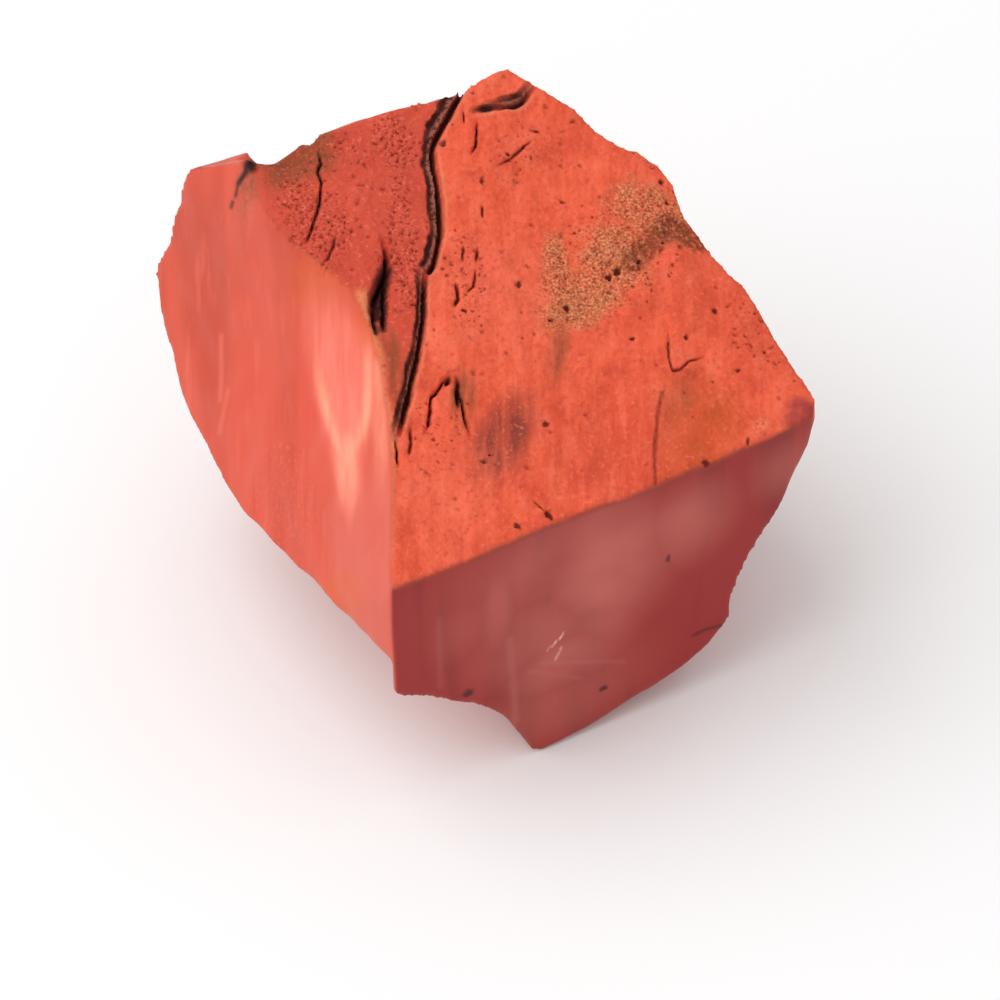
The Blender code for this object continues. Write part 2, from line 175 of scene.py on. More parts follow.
CUTTER_REACH_MM = 60.0  # how far the cutter of the left face is drawn out towards the viewer
NET_MM = 0.22


def make_ball(centre, radius, detail):
    bm = bmesh.new()
    bmesh.ops.create_icosphere(bm, subdivisions=detail, radius=radius)
    bmesh.ops.translate(bm, vec=Vector(centre), verts=bm.verts[:])
    bmesh.ops.recalc_face_normals(bm, faces=bm.faces[:])
    return new_object("cutter", bm)


def make_notch(corners):
    bm = bmesh.new()
    for corner in corners:
        bm.verts.new(corner)
    bmesh.ops.convex_hull(bm, input=bm.verts[:])
    bmesh.ops.recalc_face_normals(bm, faces=bm.faces[:])
    return new_object("cutter", bm)


def nick_corners():
    return [
        Vector((x, 0.0, 0.0)) + SEEN_UP * up - SEEN_FROM * far for x, up in NICK_OUTLINE for far in NICK_REACH
    ]


def seen_plan(points):
    """Places as seen from the front and above: across, up and how far away."""
    points = np.array(points, float)
    return np.stack([points[:, 0], points @ np.array(SEEN_UP), points @ -np.array(SEEN_FROM)], axis=1)


def bending(distance):
    distance = np.maximum(distance, 1e-9)
    return distance**2 * np.log(distance)


def left_sheet():
    """The function from across and up to the sheet's distance: a thin plate, bent as little as can be."""
    places = [(x, y, rind_height(x, y)) for x, y in LEFT_RIND_EDGE]
    places = seen_plan(places + list(LEFT_OUTLINE + LEFT_SAW_EDGE))
    here, far = places[:, :2], places[:, 2]
    count = len(here)
    pull = bending(np.linalg.norm(here[:, None] - here[None], axis=2)) + SHEET_SLACK * np.eye(count)
    slope = np.hstack([np.ones((count, 1)), here])
    system = np.block([[pull, slope], [slope.T, np.zeros((3, 3))]])
    weights = np.linalg.solve(system, np.concatenate([far, np.zeros(3)]))

    def distance_at(plan):
        reach = bending(np.linalg.norm(plan[:, None] - here[None], axis=2))
        return reach @ weights[:count] + np.hstack([np.ones((len(plan), 1)), plan]) @ weights[count:]

    return distance_at


def make_left_cutter():
    """A grid bent to the sheet and drawn out towards the viewer."""
    (low_x, low_up), (high_x, high_up) = SHEET_FROM, SHEET_TO
    bm = bmesh.new()
    cells = [round((high_x - low_x) / SHEET_STEP_MM), round((high_up - low_up) / SHEET_STEP_MM)]
    bmesh.ops.create_grid(bm, x_segments=cells[0], y_segments=cells[1], size=0.5)
    grid = np.array([vert.co[:2] for vert in bm.verts]) + 0.5
    grid = grid * (high_x - low_x, high_up - low_up) + (low_x, low_up)
    for vert, (x, up), far in zip(bm.verts, grid, left_sheet()(grid)):
        vert.co = Vector((x, 0.0, 0.0)) + SEEN_UP * up - SEEN_FROM * far
    drawn = bmesh.ops.extrude_face_region(bm, geom=bm.faces[:])
    front = [v for v in drawn["geom"] if isinstance(v, bmesh.types.BMVert)]
    bmesh.ops.translate(bm, vec=SEEN_FROM * CUTTER_REACH_MM, verts=front)
    bmesh.ops.recalc_face_normals(bm, faces=bm.faces[:])
    return new_object("cutter", bm)


def apply_modifiers(obj):
    """The object's mesh becomes what its modifiers show, and the modifiers go."""
    bpy.context.view_layer.update()
    evaluated = obj.evaluated_get(bpy.context.evaluated_depsgraph_get())
    shown = bpy.data.meshes.new_from_object(evaluated)
    obj.modifiers.clear()
    obj.data = shown


cutters = [make_ball(*flake) for flake in FLAKES]
cutters += [make_notch(UNDER_NOTCH), make_notch(nick_corners()), make_left_cutter()]
for cutter in cutters:
    cut = stone.modifiers.new("flake", "BOOLEAN")
    cut.operation = "DIFFERENCE"
    cut.solver = "EXACT"
    cut.object = cutter
net = stone.modifiers.new("even net", "REMESH")
net.mode = "VOXEL"
net.voxel_size = NET_MM
soften = stone.modifiers.new("worn edges", "SMOOTH")
soften.factor = 0.5
soften.iterations = 3
apply_modifiers(stone)
for cutter in cutters:
    bpy.data.objects.remove(cutter)
print("net:", len(stone.data.vertices), "points")


# %% [markdown]
# ## Cracks, ledges and pits of the rind
# On the real stone the rind opens in one long crack with a grey-brown ledge on its left wall and a bottom
# that lies black in shade, a deep pocket, a forked pit and many hairlines. Each is a path seen from above:
# the ground slopes down to the path over the floor's width and rises again over the wall's. Pits are small
# round hollows, some named one by one and the rest scattered where the rind is most pitted. The material
# later paints the black of the cracks as shade.

# %% Paths of the cracks
GROOVES = {  # the path, then floor width left of it, wall width right of it, depth and tapering length
    "crack top": (((-4.85, -8.6), (-4.5, -6.9), (-4.27, -5.9), (-3.85, -3.8), (-3.65, -2.6), (-3.45, -1.3),
                   (-3.45, 0.0), (-3.4, 1.0), (-3.3, 1.6)), 0.44, 0.10, 0.9, 1.6),
    "crack middle": (((-3.3, 1.3), (-2.85, 2.1), (-2.6, 3.4), (-2.45, 4.4), (-2.5, 5.7), (-2.6, 7.1),
                      (-2.85, 8.4), (-2.98, 9.4), (-2.75, 10.2), (-2.2, 11.2), (-1.7, 12.2), (-1.3, 13.0),
                      (-0.8, 14.0)), 0.58, 0.10, 0.9, 0.6),
    "ledge west": (((-0.5, 12.05), (0.4, 12.3), (1.2, 12.5)), 0.16, 0.10, 0.22, 0.8),
    "ledge": (((0.5, 12.35), (1.97, 12.74), (2.5, 13.1), (2.93, 13.7), (3.4, 14.25)), 0.46, 0.10, 0.45, 1.8),
}
SLITS = {  # narrow cracks, written the same way
    "fissure": (((-5.1, -8.9), (-5.0, -9.8), (-4.95, -10.6)), 0.13, 0.13, 0.5, 0.5),
    "short crack": (((-0.6, 9.2), (-0.35, 9.8), (-0.27, 10.6), (-0.25, 11.5)), 0.15, 0.13, 0.5, 0.9),
    "short crack 2": (((-1.15, 11.1), (-1.1, 12.1)), 0.13, 0.12, 0.25, 0.5),
    "fork left": (((-3.3, -8.4), (-3.1, -7.4), (-2.9, -6.0), (-2.3, -5.0), (-1.75, -4.4)),
                  0.17, 0.17, 0.6, 1.2),
    "fork right": (((-0.7, -8.1), (-1.0, -7.0), (-1.1, -6.0), (-1.35, -5.4), (-1.4, -4.4)),
                   0.17, 0.17, 0.6, 1.4),
    "fork left top": (((-2.2, -5.3), (-1.75, -4.4)), 0.27, 0.24, 0.7, 0.6),
    "fork right top": (((-1.35, -6.6), (-1.4, -5.4), (-1.45, -4.4)), 0.24, 0.24, 0.7, 0.7),
    "pocket": (((-6.5, -1.0), (-6.45, -0.3), (-6.1, 0.4), (-5.8, 1.1), (-5.75, 2.0), (-5.95, 3.0)),
               0.28, 0.28, 1.2, 1.3),
    "pocket left": (((-6.35, -2.4), (-6.5, -1.5), (-6.5, -0.6)), 0.14, 0.14, 0.6, 0.7),
    "pocket right": (((-5.85, -2.3), (-5.85, -1.0), (-5.9, 0.1), (-5.75, 0.9)), 0.16, 0.16, 0.7, 0.8),
    "left crack": (((-10.7, 2.2), (-10.2, 3.5), (-9.85, 4.9), (-9.7, 5.8), (-9.7, 6.4), (-9.95, 7.0),
                    (-9.75, 7.5), (-9.9, 8.6)), 0.17, 0.17, 0.4, 1.2),
}
HAIRS = {  # the thinnest cracks, written the same way
    "left hair": (((-9.6, 1.3), (-9.2, 1.7), (-8.9, 2.4), (-8.8, 3.1)), 0.13, 0.13, 0.18, 0.6),
    "diagonal hair": (((0.9, 8.7), (1.8, 9.4), (2.4, 10.0), (3.1, 10.8)), 0.13, 0.13, 0.2, 0.8),
    "thin red crack": (((-4.25, -9.9), (-4.2, -9.0), (-4.2, -8.0)), 0.16, 0.16, 0.3, 0.6),
    "slit": (((0.1, 5.4), (0.0, 6.3)), 0.12, 0.12, 0.25, 0.3),
    "chain 1": (((-1.1, 2.5), (-1.05, 3.5)), 0.16, 0.15, 0.3, 0.4),
    "chain 2": (((-0.3, 2.6), (-0.2, 3.6)), 0.16, 0.15, 0.3, 0.4),
    "chain 3": (((-0.9, 0.5), (-0.4, 1.0), (-0.35, 2.2)), 0.14, 0.14, 0.25, 0.5),
    "chain 4": (((-1.7, -0.5), (-1.4, 0.1), (-1.5, 1.1)), 0.20, 0.18, 0.4, 0.4),
    "step line": (((11.4, -0.1), (11.4, -1.8), (11.6, -2.5), (12.1, -2.4), (12.5, -1.9), (13.6, -1.3)),
                  0.13, 0.13, 0.14, 1.2),
    "small crack": (((16.15, -6.5), (16.15, -5.8)), 0.14, 0.14, 0.25, 0.3),
    "pit tail": (((3.1, -11.6), (3.9, -12.2)), 0.10, 0.10, 0.12, 0.5),
}
STEPS = {  # the ground right of the path stands this much higher and eases back over this reach
    "upper step": (((8.4, -0.5), (8.4, 0.9), (9.7, 3.4), (10.5, 4.1), (12.9, 5.6)), 0.35, 5.0),
    "lower step": (((11.5, -2.6), (11.5, -0.5), (11.9, -1.8), (12.6, -1.6), (13.6, -1.2)), 0.25, 3.0),
}
STEP_FRONT_MM = 0.5  # over this width the ground rises to the step
STEP_TAPER_MM = 1.5  # over this length a step comes up at its ends


def ramp(values, start, end):
    """0 before start, 1 after end, smooth between. Start may be the larger."""
    share = np.clip((values - start) / (end - start), 0, 1)
    return share * share * (3 - 2 * share)


def both(*shares):
    return np.prod(shares, axis=0)


def either(*shares):
    return np.max(shares, axis=0)


def path_measure(plan, path):
    """Signed distance from the path, with right of it positive, and the way left to its nearer end."""
    path = np.array(path, float)
    best = np.full(len(plan), np.inf)
    side = np.ones(len(plan))
    way = np.zeros(len(plan))
    walked = np.concatenate([[0.0], np.cumsum(np.linalg.norm(np.diff(path, axis=0), axis=1))])
    for i in range(len(path) - 1):
        start, run = path[i], path[i + 1] - path[i]
        length = np.linalg.norm(run)
        t = np.clip(((plan - start) @ run) / length**2, 0.0, 1.0)
        offset = plan - (start + t[:, None] * run)
        distance = np.linalg.norm(offset, axis=1)
        nearer = distance < best
        best[nearer] = distance[nearer]
        side[nearer] = np.sign(offset[:, 0] * run[1] - offset[:, 1] * run[0])[nearer]
        way[nearer] = (walked[i] + t * length)[nearer]
    return best * np.where(side == 0, 1, side), np.minimum(way, walked[-1] - way)


OPEN_AT_END = 0.25  # how far open a crack still is at its very end
SHELF = 0.30  # how deep the lit shelf of a main crack lies, as a share of the crack's depth
SLIT_MM = 0.12  # half width of the slit beside the shelf, painted black as its shade
SHELF_WALL_MM = 0.08  # width of the wall from the ground down to the shelf
SLIT_WALL_MM = 0.06  # width of the wall from the shelf down to the slit
SLIT_LAP_MM = 0.02  # how far the slit's painted black shade reaches up that wall
SHADE_LINE_HALF_MM = 0.17  # half width of the painted shade line along the shelf's wall
PALE_LIP_MM = 0.18  # width of the pale lip across the slit from the shelf


def taper(to_end, taper_mm):
    """How far open a crack is along its way."""
    return np.clip(OPEN_AT_END + to_end / taper_mm, 0, 1)


def groove_open(plan, groove):
    """How far down its groove each point is: 0 at the lips, 1 at the bottom."""
    path, floor_mm, wall_mm, _, taper_mm = groove
    across, to_end = path_measure(plan, path)
    open_share = np.clip(np.where(across < 0, 1 + across / floor_mm, 1 - across / wall_mm), 0, 1)
    return open_share * taper(to_end, taper_mm)


def deepest(plan, grooves):
    """Depth in mm and openness of the deepest groove at each point."""
    depth, openness = np.zeros(len(plan)), np.zeros(len(plan))
    for groove in grooves.values():
        share = groove_open(plan, groove)
        depth = np.maximum(depth, share * groove[3])
        openness = np.maximum(openness, share)
    return depth, openness


def band(values, start, end, soft=0.05):
    """1 between start and end, 0 outside them."""
    return ramp(values, start - soft, start + soft) * ramp(values, end + soft, end - soft)


def shelved_cracks(plan, widening):
    """Depth of the main cracks, then the shares of the painted shade line on the left, the lit shelf, the
    slit's painted black shade and the pale lip.
    """
    parts = np.zeros((5, len(plan)))
    for path, floor_mm, wall_mm, depth_mm, taper_mm in GROOVES.values():
        across, to_end = path_measure(plan, path)
        across = across * widening
        lip_mm = SLIT_MM + wall_mm
        stops = (-floor_mm - SHELF_WALL_MM, -floor_mm, -SLIT_MM - SLIT_WALL_MM, -SLIT_MM, SLIT_MM, lip_mm)
        found = (
            depth_mm * np.interp(across, stops, (0, SHELF, SHELF, 1, 1, 0)),
            band(across, -floor_mm - SHADE_LINE_HALF_MM, -floor_mm + SHADE_LINE_HALF_MM),
            band(across, -floor_mm, -SLIT_MM),
            band(across, -SLIT_MM - SLIT_LAP_MM, SLIT_MM),
            band(across, lip_mm, lip_mm + PALE_LIP_MM),
        )
        parts = np.maximum(parts, np.array(found) * taper(to_end, taper_mm))
    return parts


def step_rise(plan):
    rise = np.zeros(len(plan))
    for path, rise_mm, reach_mm in STEPS.values():
        across, to_end = path_measure(plan, path)
        up = np.clip(across / STEP_FRONT_MM, 0, 1) * np.clip(1 - across / reach_mm, 0, 1)
        rise += rise_mm * up * np.clip(to_end / STEP_TAPER_MM, 0, 1)
    return rise


# %% Pits, named and scattered
NAMED_PITS = (  # x, y, radius, depth
    (-2.35, 9.8, 0.26, 0.14), (3.4, 11.5, 0.22, 0.2), (1.6, 9.6, 0.18, 0.18), (0.0, 7.7, 0.16, 0.14),
    (5.0, 7.3, 0.19, 0.22), (2.3, 1.6, 0.22, 0.14), (3.9, -6.8, 0.24, 0.18), (4.05, -12.3, 0.26, 0.28),
    (2.2, -13.2, 0.24, 0.10), (12.4, -0.4, 0.2, 0.26), (15.6, -1.9, 0.22, 0.26), (17.3, -0.4, 0.17, 0.2),
    (14.2, 1.7, 0.22, 0.2), (11.1, 9.4, 0.3, 0.3), (11.4, 8.1, 0.22, 0.24), (9.6, 4.0, 0.2, 0.24),
    (8.3, 3.2, 0.3, 0.34), (7.8, 2.8, 0.24, 0.3), (5.2, 0.6, 0.26, 0.3), (4.2, -0.4, 0.2, 0.2),
    (-1.1, -0.6, 0.22, 0.26), (13.6, -7.8, 0.3, 0.3), (9.2, -0.9, 0.16, 0.18), (0.2, -9.6, 0.2, 0.24),
    (0.6, -9.2, 0.16, 0.2),
)
PITTED = (  # pitted places: x, y, half widths, turn in degrees, share of the possible pits that are there
    (-11.3, 3.6, 1.4, 3.0, -10, 1.0), (-9.4, 3.6, 1.6, 2.4, 0, 0.8), (-10.4, 1.0, 1.6, 0.8, -25, 0.8),
    (-5.3, 9.4, 1.4, 1.9, 20, 0.95), (-8.4, 8.6, 2.0, 1.0, -10, 0.5), (-4.8, 3.2, 0.9, 4.4, 5, 1.0),
    (-7.6, 4.0, 4.5, 6.0, 0, 0.25), (-0.8, 1.4, 1.3, 3.4, 0, 0.55), (16.4, 0.6, 1.2, 2.6, 25, 0.35),
    (2.6, 10.4, 2.6, 1.3, 35, 0.35), (8.2, 3.8, 5.2, 3.4, 38, 0.4), (11.3, 7.4, 2.0, 1.8, 0, 0.5),
    (-2.6, -8.6, 1.6, 2.6, 0, 0.3), (8.6, 12.0, 4.4, 0.8, -27, 0.5),
)
PIT_SEED = 17
PIT_GRID_MM = 22  # the grid of possible pits reaches this far from the middle
PIT_SPACING_MM = 0.36
PIT_SHAKE = 0.42  # how far a pit strays from its place on the grid, as a share of the spacing
SMALLEST_PIT_MM, PIT_GROWTH_MM = 0.075, 0.075  # the smallest radius, and what the largest has more
PIT_EDGE, PIT_FLOOR = 1.1, 0.3  # where a pit begins and where it is deepest, in radii
PLAIN_PITS = 0.04  # share of the possible pits elsewhere


def oval(plan, x, y, half_x, half_y, turn_deg=0.0, soft=0.25, wobble=0.0):
    """1 inside the oval, 0 outside, smooth over the soft share of its size. Wobble bends its outline."""
    turn = math.radians(turn_deg)
    across = (plan[:, 0] - x) * math.cos(turn) + (plan[:, 1] - y) * math.sin(turn)
    up = -(plan[:, 0] - x) * math.sin(turn) + (plan[:, 1] - y) * math.cos(turn)
    reach = np.hypot(across / half_x, up / half_y) + wobble
    return ramp(reach, 1 + soft, 1 - soft)


def pitted_share(plan):
    share = np.full(len(plan), PLAIN_PITS)
    for x, y, half_x, half_y, turn, much in PITTED:
        share = np.maximum(share, much * oval(plan, x, y, half_x, half_y, turn, soft=0.3))
    return share


def scattered_pits():
    """Centres and radii of pits on a shaken grid, kept by the share of pits at that place."""
    chance = np.random.default_rng(PIT_SEED)
    steps = np.arange(-PIT_GRID_MM, PIT_GRID_MM, PIT_SPACING_MM)
    centres = np.stack(np.meshgrid(steps, steps), axis=-1).reshape(-1, 2)
    centres = centres + chance.uniform(-PIT_SHAKE, PIT_SHAKE, centres.shape) * PIT_SPACING_MM
    there = chance.uniform(0, 1, len(centres)) < pitted_share(centres)
    radii = SMALLEST_PIT_MM + PIT_GROWTH_MM * chance.uniform(0, 1, len(centres)) ** 2
    return centres[there], radii[there]


def nearest_finder(points):
    """A tree whose find method gives the nearest of the points, its number and its distance."""
    finder = kdtree.KDTree(len(points))
    for i, point in enumerate(points):
        finder.insert(point, i)
    finder.balance()
    return finder


def dimple_depth(plan, centres, radii, depths):
    """Depth and openness of round hollows at each point."""
    finder = nearest_finder([(x, y, 0.0) for x, y in centres])
    nearest = [finder.find((x, y, 0.0)) for x, y in plan]
    which = np.array([found[1] for found in nearest])
    reach = np.array([found[2] for found in nearest]) / radii[which]
    share = ramp(reach, PIT_EDGE, PIT_FLOOR)
    return share * depths[which], share


# %% [markdown]
# ## A finer net where the detail is
# The cracks and the pits are only a few tenths of a millimetre wide. Halving the net everywhere would make
# the part too heavy, so only the faces of the rind near a crack or in a pitted place are split into four.

# %% Split the faces near cracks and pits
DENSE_PITS = 0.28  # a place with this share of the possible pits counts as pitted
FINE_REACH = ((GROOVES, 1.2), (SLITS, 0.7), (HAIRS, 0.5))  # how many mm the finer net goes to each side
RIND_SKIN_MM = 0.6  # the net is only split this near the plane of the rind


def read_points(mesh):
    points = np.empty(len(mesh.vertices) * 3)
    mesh.vertices.foreach_get("co", points)
    normals = np.empty(len(mesh.vertices) * 3)
    mesh.vertices.foreach_get("normal", normals)
    return points.reshape(-1, 3), normals.reshape(-1, 3)


def wants_detail(points):
    """True for points of the rind near a crack or in a pitted place."""
    plan = points[:, :2]
    near = pitted_share(plan) > DENSE_PITS
    for paths, reach_mm in FINE_REACH:
        for groove in paths.values():
            near |= np.abs(path_measure(plan, groove[0])[0]) < reach_mm
    return near & (np.abs((points - np.array(FRONT_CORNER)) @ np.array(RIND_NORMAL)) < RIND_SKIN_MM)


bm = bmesh.new()
bm.from_mesh(stone.data)
fine = wants_detail(read_points(stone.data)[0])
bm.verts.ensure_lookup_table()
edges = [edge for edge in bm.edges if fine[edge.verts[0].index] and fine[edge.verts[1].index]]
bmesh.ops.subdivide_edges(bm, edges=edges, cuts=1, use_grid_fill=True)
bm.to_mesh(stone.data)
bm.free()
print("points with the finer net:", len(stone.data.vertices))

# %% [markdown]
# ## Which face a point belongs to
# Every later step treats the rind, the left face, the sawn face and the broken back differently, so each
# point first learns how much of each it is. The left face is found by its distance from the bent sheet.

# %% Shares of the faces
# Each pair says where a share begins and where it is full
SHEET_MM, SAW_MM = (0.25, 0.08), (0.12, 0.04)  # distance from the left face and from the sawn one
LEFT_BORDER_MM, SAWN_BORDER_MM = (-0.1, 0.2), (0.0, 0.35)  # depth below the rind, for the same two
RIM_MM = (2.2, 0.9)  # depth below the rind, for the rind itself
HOLLOW_MM = (1.3, 0.1)  # distance from the wall of the tip hollow, which has the rind's colour
TIP_UP, TIP_RIGHT = (26.7, 26.9), -11.0  # the tip behind that hollow, by way up the view and across
TIP_SIDE = (-14.1, -14.4)  # way across, for the part of the hollow that belongs to the left face
TURNED = (-0.3, 0.05)  # how much a point of the hollow faces the viewer
TOP_MM = 0.1  # what lies no deeper below the rind than this is the top
SLOPE_STEP_MM = 0.05  # the sheet's slope is measured over this step


def off_sheet(points):
    """Distance of each point from the sheet of the left face, measured square to the sheet."""
    seen, sheet = seen_plan(points), left_sheet()
    far = sheet(seen[:, :2])
    across = (sheet(seen[:, :2] + (SLOPE_STEP_MM, 0)) - far) / SLOPE_STEP_MM
    up = (sheet(seen[:, :2] + (0, SLOPE_STEP_MM)) - far) / SLOPE_STEP_MM
    return np.abs(seen[:, 2] - far) / np.sqrt(1 + across**2 + up**2)


points, normals = read_points(stone.data)
to_viewer = normals @ np.array(SEEN_FROM)
below_rind = -(points - np.array(FRONT_CORNER)) @ np.array(RIND_NORMAL)
off_saw = np.abs((points - np.array(FRONT_CORNER)) @ np.array(SAW_NORMAL))
near_hollow = np.abs(np.linalg.norm(points - np.array(TIP_HOLLOW[0]), axis=1) - TIP_HOLLOW[1])
behind_hollow = ramp(seen_plan(points)[:, 1], *TIP_UP) * (points[:, 0] < TIP_RIGHT)
in_hollow = either(ramp(near_hollow, *HOLLOW_MM), behind_hollow)
in_hollow *= ramp(to_viewer, *TURNED)
tip_side = ramp(points[:, 0], *TIP_SIDE)
from_sheet = off_sheet(points)
left_share = ramp(from_sheet, *SHEET_MM) * ramp(below_rind, *LEFT_BORDER_MM)
left_share = either(left_share, in_hollow * tip_side)
sawn_share = ramp(off_saw, *SAW_MM) * ramp(below_rind, *SAWN_BORDER_MM)
rind_share = either(ramp(below_rind, *RIM_MM), in_hollow) * (1 - left_share) * (1 - sawn_share)
on_top = below_rind < TOP_MM
print("points on rind, left and sawn face:", int(on_top.sum()), int(left_share.sum()), int(sawn_share.sum()))

# %% [markdown]
# ## Edges that wander
# Nothing on a broken stone is straight. A slow noise moves every point a few tenths of a millimetre, so that
# edges and silhouettes drift, while points near the saw cut stay in its plane. The broken back gets lumps of
# its own, which calm down close to the faces that are seen from the front.

# %% Slow drift and broken lumps
WANDER = ((7.0, 0.30), (2.2, 0.16))  # size and height of each layer
WANDER_SEEDS = (11.3, 23.9, 37.1)  # one for each of X, Y and Z
BREAK_LUMPS = ((7.0, 0.45), (2.8, 0.22))
BREAK_GRAIN = ((1.3, 0.10), (0.6, 0.05))
FADE_MM = 3.0
GRIP_MM = 0.5
FRONT_EDGE = ((-5.3, -19.0), (-5.3, -9.0))  # the edge between rind and left face runs straight here
CALM_MM = 2.5  # so the wandering fades this near it
CALM_SHARE = 0.15  # down to this share


def lumps(points, layers, seed, where=None, stretch=(1, 1, 1)):
    """Smooth swellings: the sum of noise layers of the given size and height, only worked out where asked."""
    chosen = np.arange(len(points)) if where is None else np.flatnonzero(where)
    total = np.zeros(len(points))
    shift = Vector((seed, 3.7 * seed, -seed))
    places = points[chosen] / np.array(stretch)
    for size, height in layers:
        total[chosen] += height * np.array([noise.noise(Vector(p) / size + shift) for p in places])
    return total


def hidden_share(points, to_viewer):
    """0 on and beside the faces that are seen from the front and above, 1 well away from them."""
    finder = nearest_finder(points[to_viewer > 0])
    return np.clip(np.array([finder.find(point)[2] for point in points]) / FADE_MM, 0, 1)


def held_flat(move, points, origin, facing):
    """Takes away the part of a move that would lift points off a flat face."""
    facing = np.array(facing)
    away = np.abs((points - np.array(origin)) @ facing)
    grip = np.clip(1 - away / GRIP_MM, 0, 1)
    return move - np.outer(grip * (move @ facing), facing)


drift = np.stack([lumps(points, WANDER, seed) for seed in WANDER_SEEDS], axis=1)
drift *= np.clip(np.abs(path_measure(points[:, :2], FRONT_EDGE)[0]) / CALM_MM, CALM_SHARE, 1.0)[:, None]
hidden = hidden_share(points, to_viewer)
broken = lumps(points, BREAK_LUMPS, 8.3, hidden > 0) + lumps(points, BREAK_GRAIN, 3.1, hidden > 0)
print("largest drift, mm:", round(float(np.linalg.norm(drift, axis=1).max()), 2))

# %% [markdown]
# ## How deep each point of the rind lies
# Cracks are measured on the wandering ground, with a ragged edge of their own, so that they wander along.

# %% Depths of cracks and pits
RAGGED = ((0.9, 0.09), (0.4, 0.05))  # how the edges of a crack stray
WIDENING = ((1.5, 0.28), (0.5, 0.12))  # how its width changes along it
CRUMBLE = ((0.28, 0.16),)  # how the outline of a pit strays
RIND_DEPTH_MM = 2.5  # pits are looked for down to this far below the plane of the rind

ragged = np.stack([lumps(points, RAGGED, seed, on_top) for seed in (2.7, 6.1)], axis=1)
plan = (points + drift)[:, :2]
plan_ragged = plan + ragged
widening = 1 + lumps(points, WIDENING, 13.3, on_top)
crack_depth, shelf_line_shade, shelf, slit_shade, pale_lip = shelved_cracks(plan + 0.5 * ragged, widening)
slit_depth, slit_open = deepest(plan_ragged, SLITS)
hair_depth, hair_open = deepest(plan_ragged, HAIRS)
print("deepest crack, mm:", round(float(crack_depth.max()), 2))

top = np.flatnonzero(below_rind < RIND_DEPTH_MM)
pit_centres, pit_radii = scattered_pits()
named = np.array(NAMED_PITS)
pit_depth, pit_open, spot_depth, spot_open = np.zeros((4, len(points)))
crumbled = plan[top] + np.stack([lumps(points[top], CRUMBLE, seed) for seed in (4.9, 8.8)], axis=1)
pit_depth[top], pit_open[top] = dimple_depth(crumbled, pit_centres, pit_radii, pit_radii)
spot_depth[top], spot_open[top] = dimple_depth(crumbled, named[:, :2], named[:, 2], named[:, 3])
print("scattered pits:", len(pit_centres))

# %% [markdown]
# ## Moving the points
# The rind's relief is the sum of its swellings, fine grain and steps, less the cracks and pits, and it acts
# square to the rind. It dies out a little below the rim, so that the rim comes out crumbled. The left face
# gets only a slow swell and fine upright ribs, as a shell-like break has, and the sawn face stays flat.

# %% Relief of each face
LUMPS = ((6.0, 0.30), (2.6, 0.12))
RIND_GRAIN = ((1.1, 0.08), (0.5, 0.055))
LEFT_SWELL = ((4.0, 0.10),)
RIBS = ((1.6, 0.05), (0.6, 0.025))
RIB_STRETCH = (1.0, 12.0, 12.0)  # the ribs of the left face run down it, so they're long in Y and Z
RELIEF_REACH = 1.2  # the rind's relief ends this many times RIND_DEPTH_MM below its plane
POCKET_BOWL = (-6.15, -0.7, 0.55, 1.7, -6, 0.3)  # the shallow hollow that the pocket's cracks lie in
POCKET_BOWL_MM = 0.3  # its depth
FOOT = (  # corners of the flat face it stands on
    (3.8, -12.6), (8.8, -8.4), (12.4, -2.0), (11.0, 9.8), (0.3, 15.1), (-11.0, 10.5), (-4.0, -2.2),
)
FOOT_RISE = 0.5  # the worn rim round it rises this much per mm outwards
GROUND_OFF_MM = 0.1  # how much of the underside the flat face takes off


def rim_floor(points):
    """The lowest height a point may have: level on the foot, rising outside it."""
    outside = np.zeros(len(points))
    for i, start in enumerate(FOOT):
        run = np.array(FOOT[(i + 1) % len(FOOT)]) - start
        away = (points[:, :2] - start) @ np.array((run[1], -run[0])) / np.linalg.norm(run)
        outside = np.maximum(outside, away)
    return GROUND_OFF_MM + FOOT_RISE * outside


near_rim = below_rind < RIND_DEPTH_MM * RELIEF_REACH

swell = lumps(points, LUMPS, 5.1, near_rim) + lumps(points, RIND_GRAIN, 9.7, near_rim)
relief = swell + step_rise(plan) - np.maximum(np.maximum(crack_depth, slit_depth), hair_depth)
relief -= np.maximum(pit_depth, spot_depth) + POCKET_BOWL_MM * oval(plan_ragged, *POCKET_BOWL)
relief *= np.clip(RELIEF_REACH - np.abs(below_rind) / RIND_DEPTH_MM, 0, 1)

on_left = left_share > 0.01
ribs = lumps(points, RIBS, 4.4, on_left, RIB_STRETCH) + lumps(points, LEFT_SWELL, 1.9, on_left)

move = drift + np.outer(relief, RIND_NORMAL)
move += normals * (hidden * broken + left_share * ribs)[:, None]
move = held_flat(move, points, FRONT_CORNER, SAW_NORMAL)
move = held_flat(move, points, (0, 0, 0), (0, 0, 1))
moved = points + move
moved[:, 2] = np.maximum(moved[:, 2], rim_floor(moved))
stone.data.vertices.foreach_set("co", moved.ravel())
stone.data.update()
print("relief of the rind, mm:", relief.min().round(2), "to", relief.max().round(2))

# %% [markdown]
# ## Where each patch lies
# The colours of the stone are patches with places: a brown granular band, an ochre corner, a purple smudge, a
# pale lobe on the left face that is a painted highlight, a whitish haze on the sawn one that is partly dust
# and partly painted sheen, and the painted shade of cracks and pits. Each becomes a number between 0 and 1
# kept on the points, and the material blends its colours by those numbers. The outlines are bent by noise.

# %% Patches kept on the points
patch_names = []


def keep(name, values):
    """Stores one number for each point under that name, for the material to read."""
    layer = stone.data.attributes.new(name, "FLOAT", "POINT")
    layer.data.foreach_set("value", np.asarray(values, np.float32))
    patch_names.append(name)


def stroke(plan, path, half_width, soft=0.5):
    """1 along the path, 0 past its half width."""
    away = np.abs(path_measure(plan, path)[0])
    return ramp(away, half_width * (1 + soft), half_width * (1 - soft))


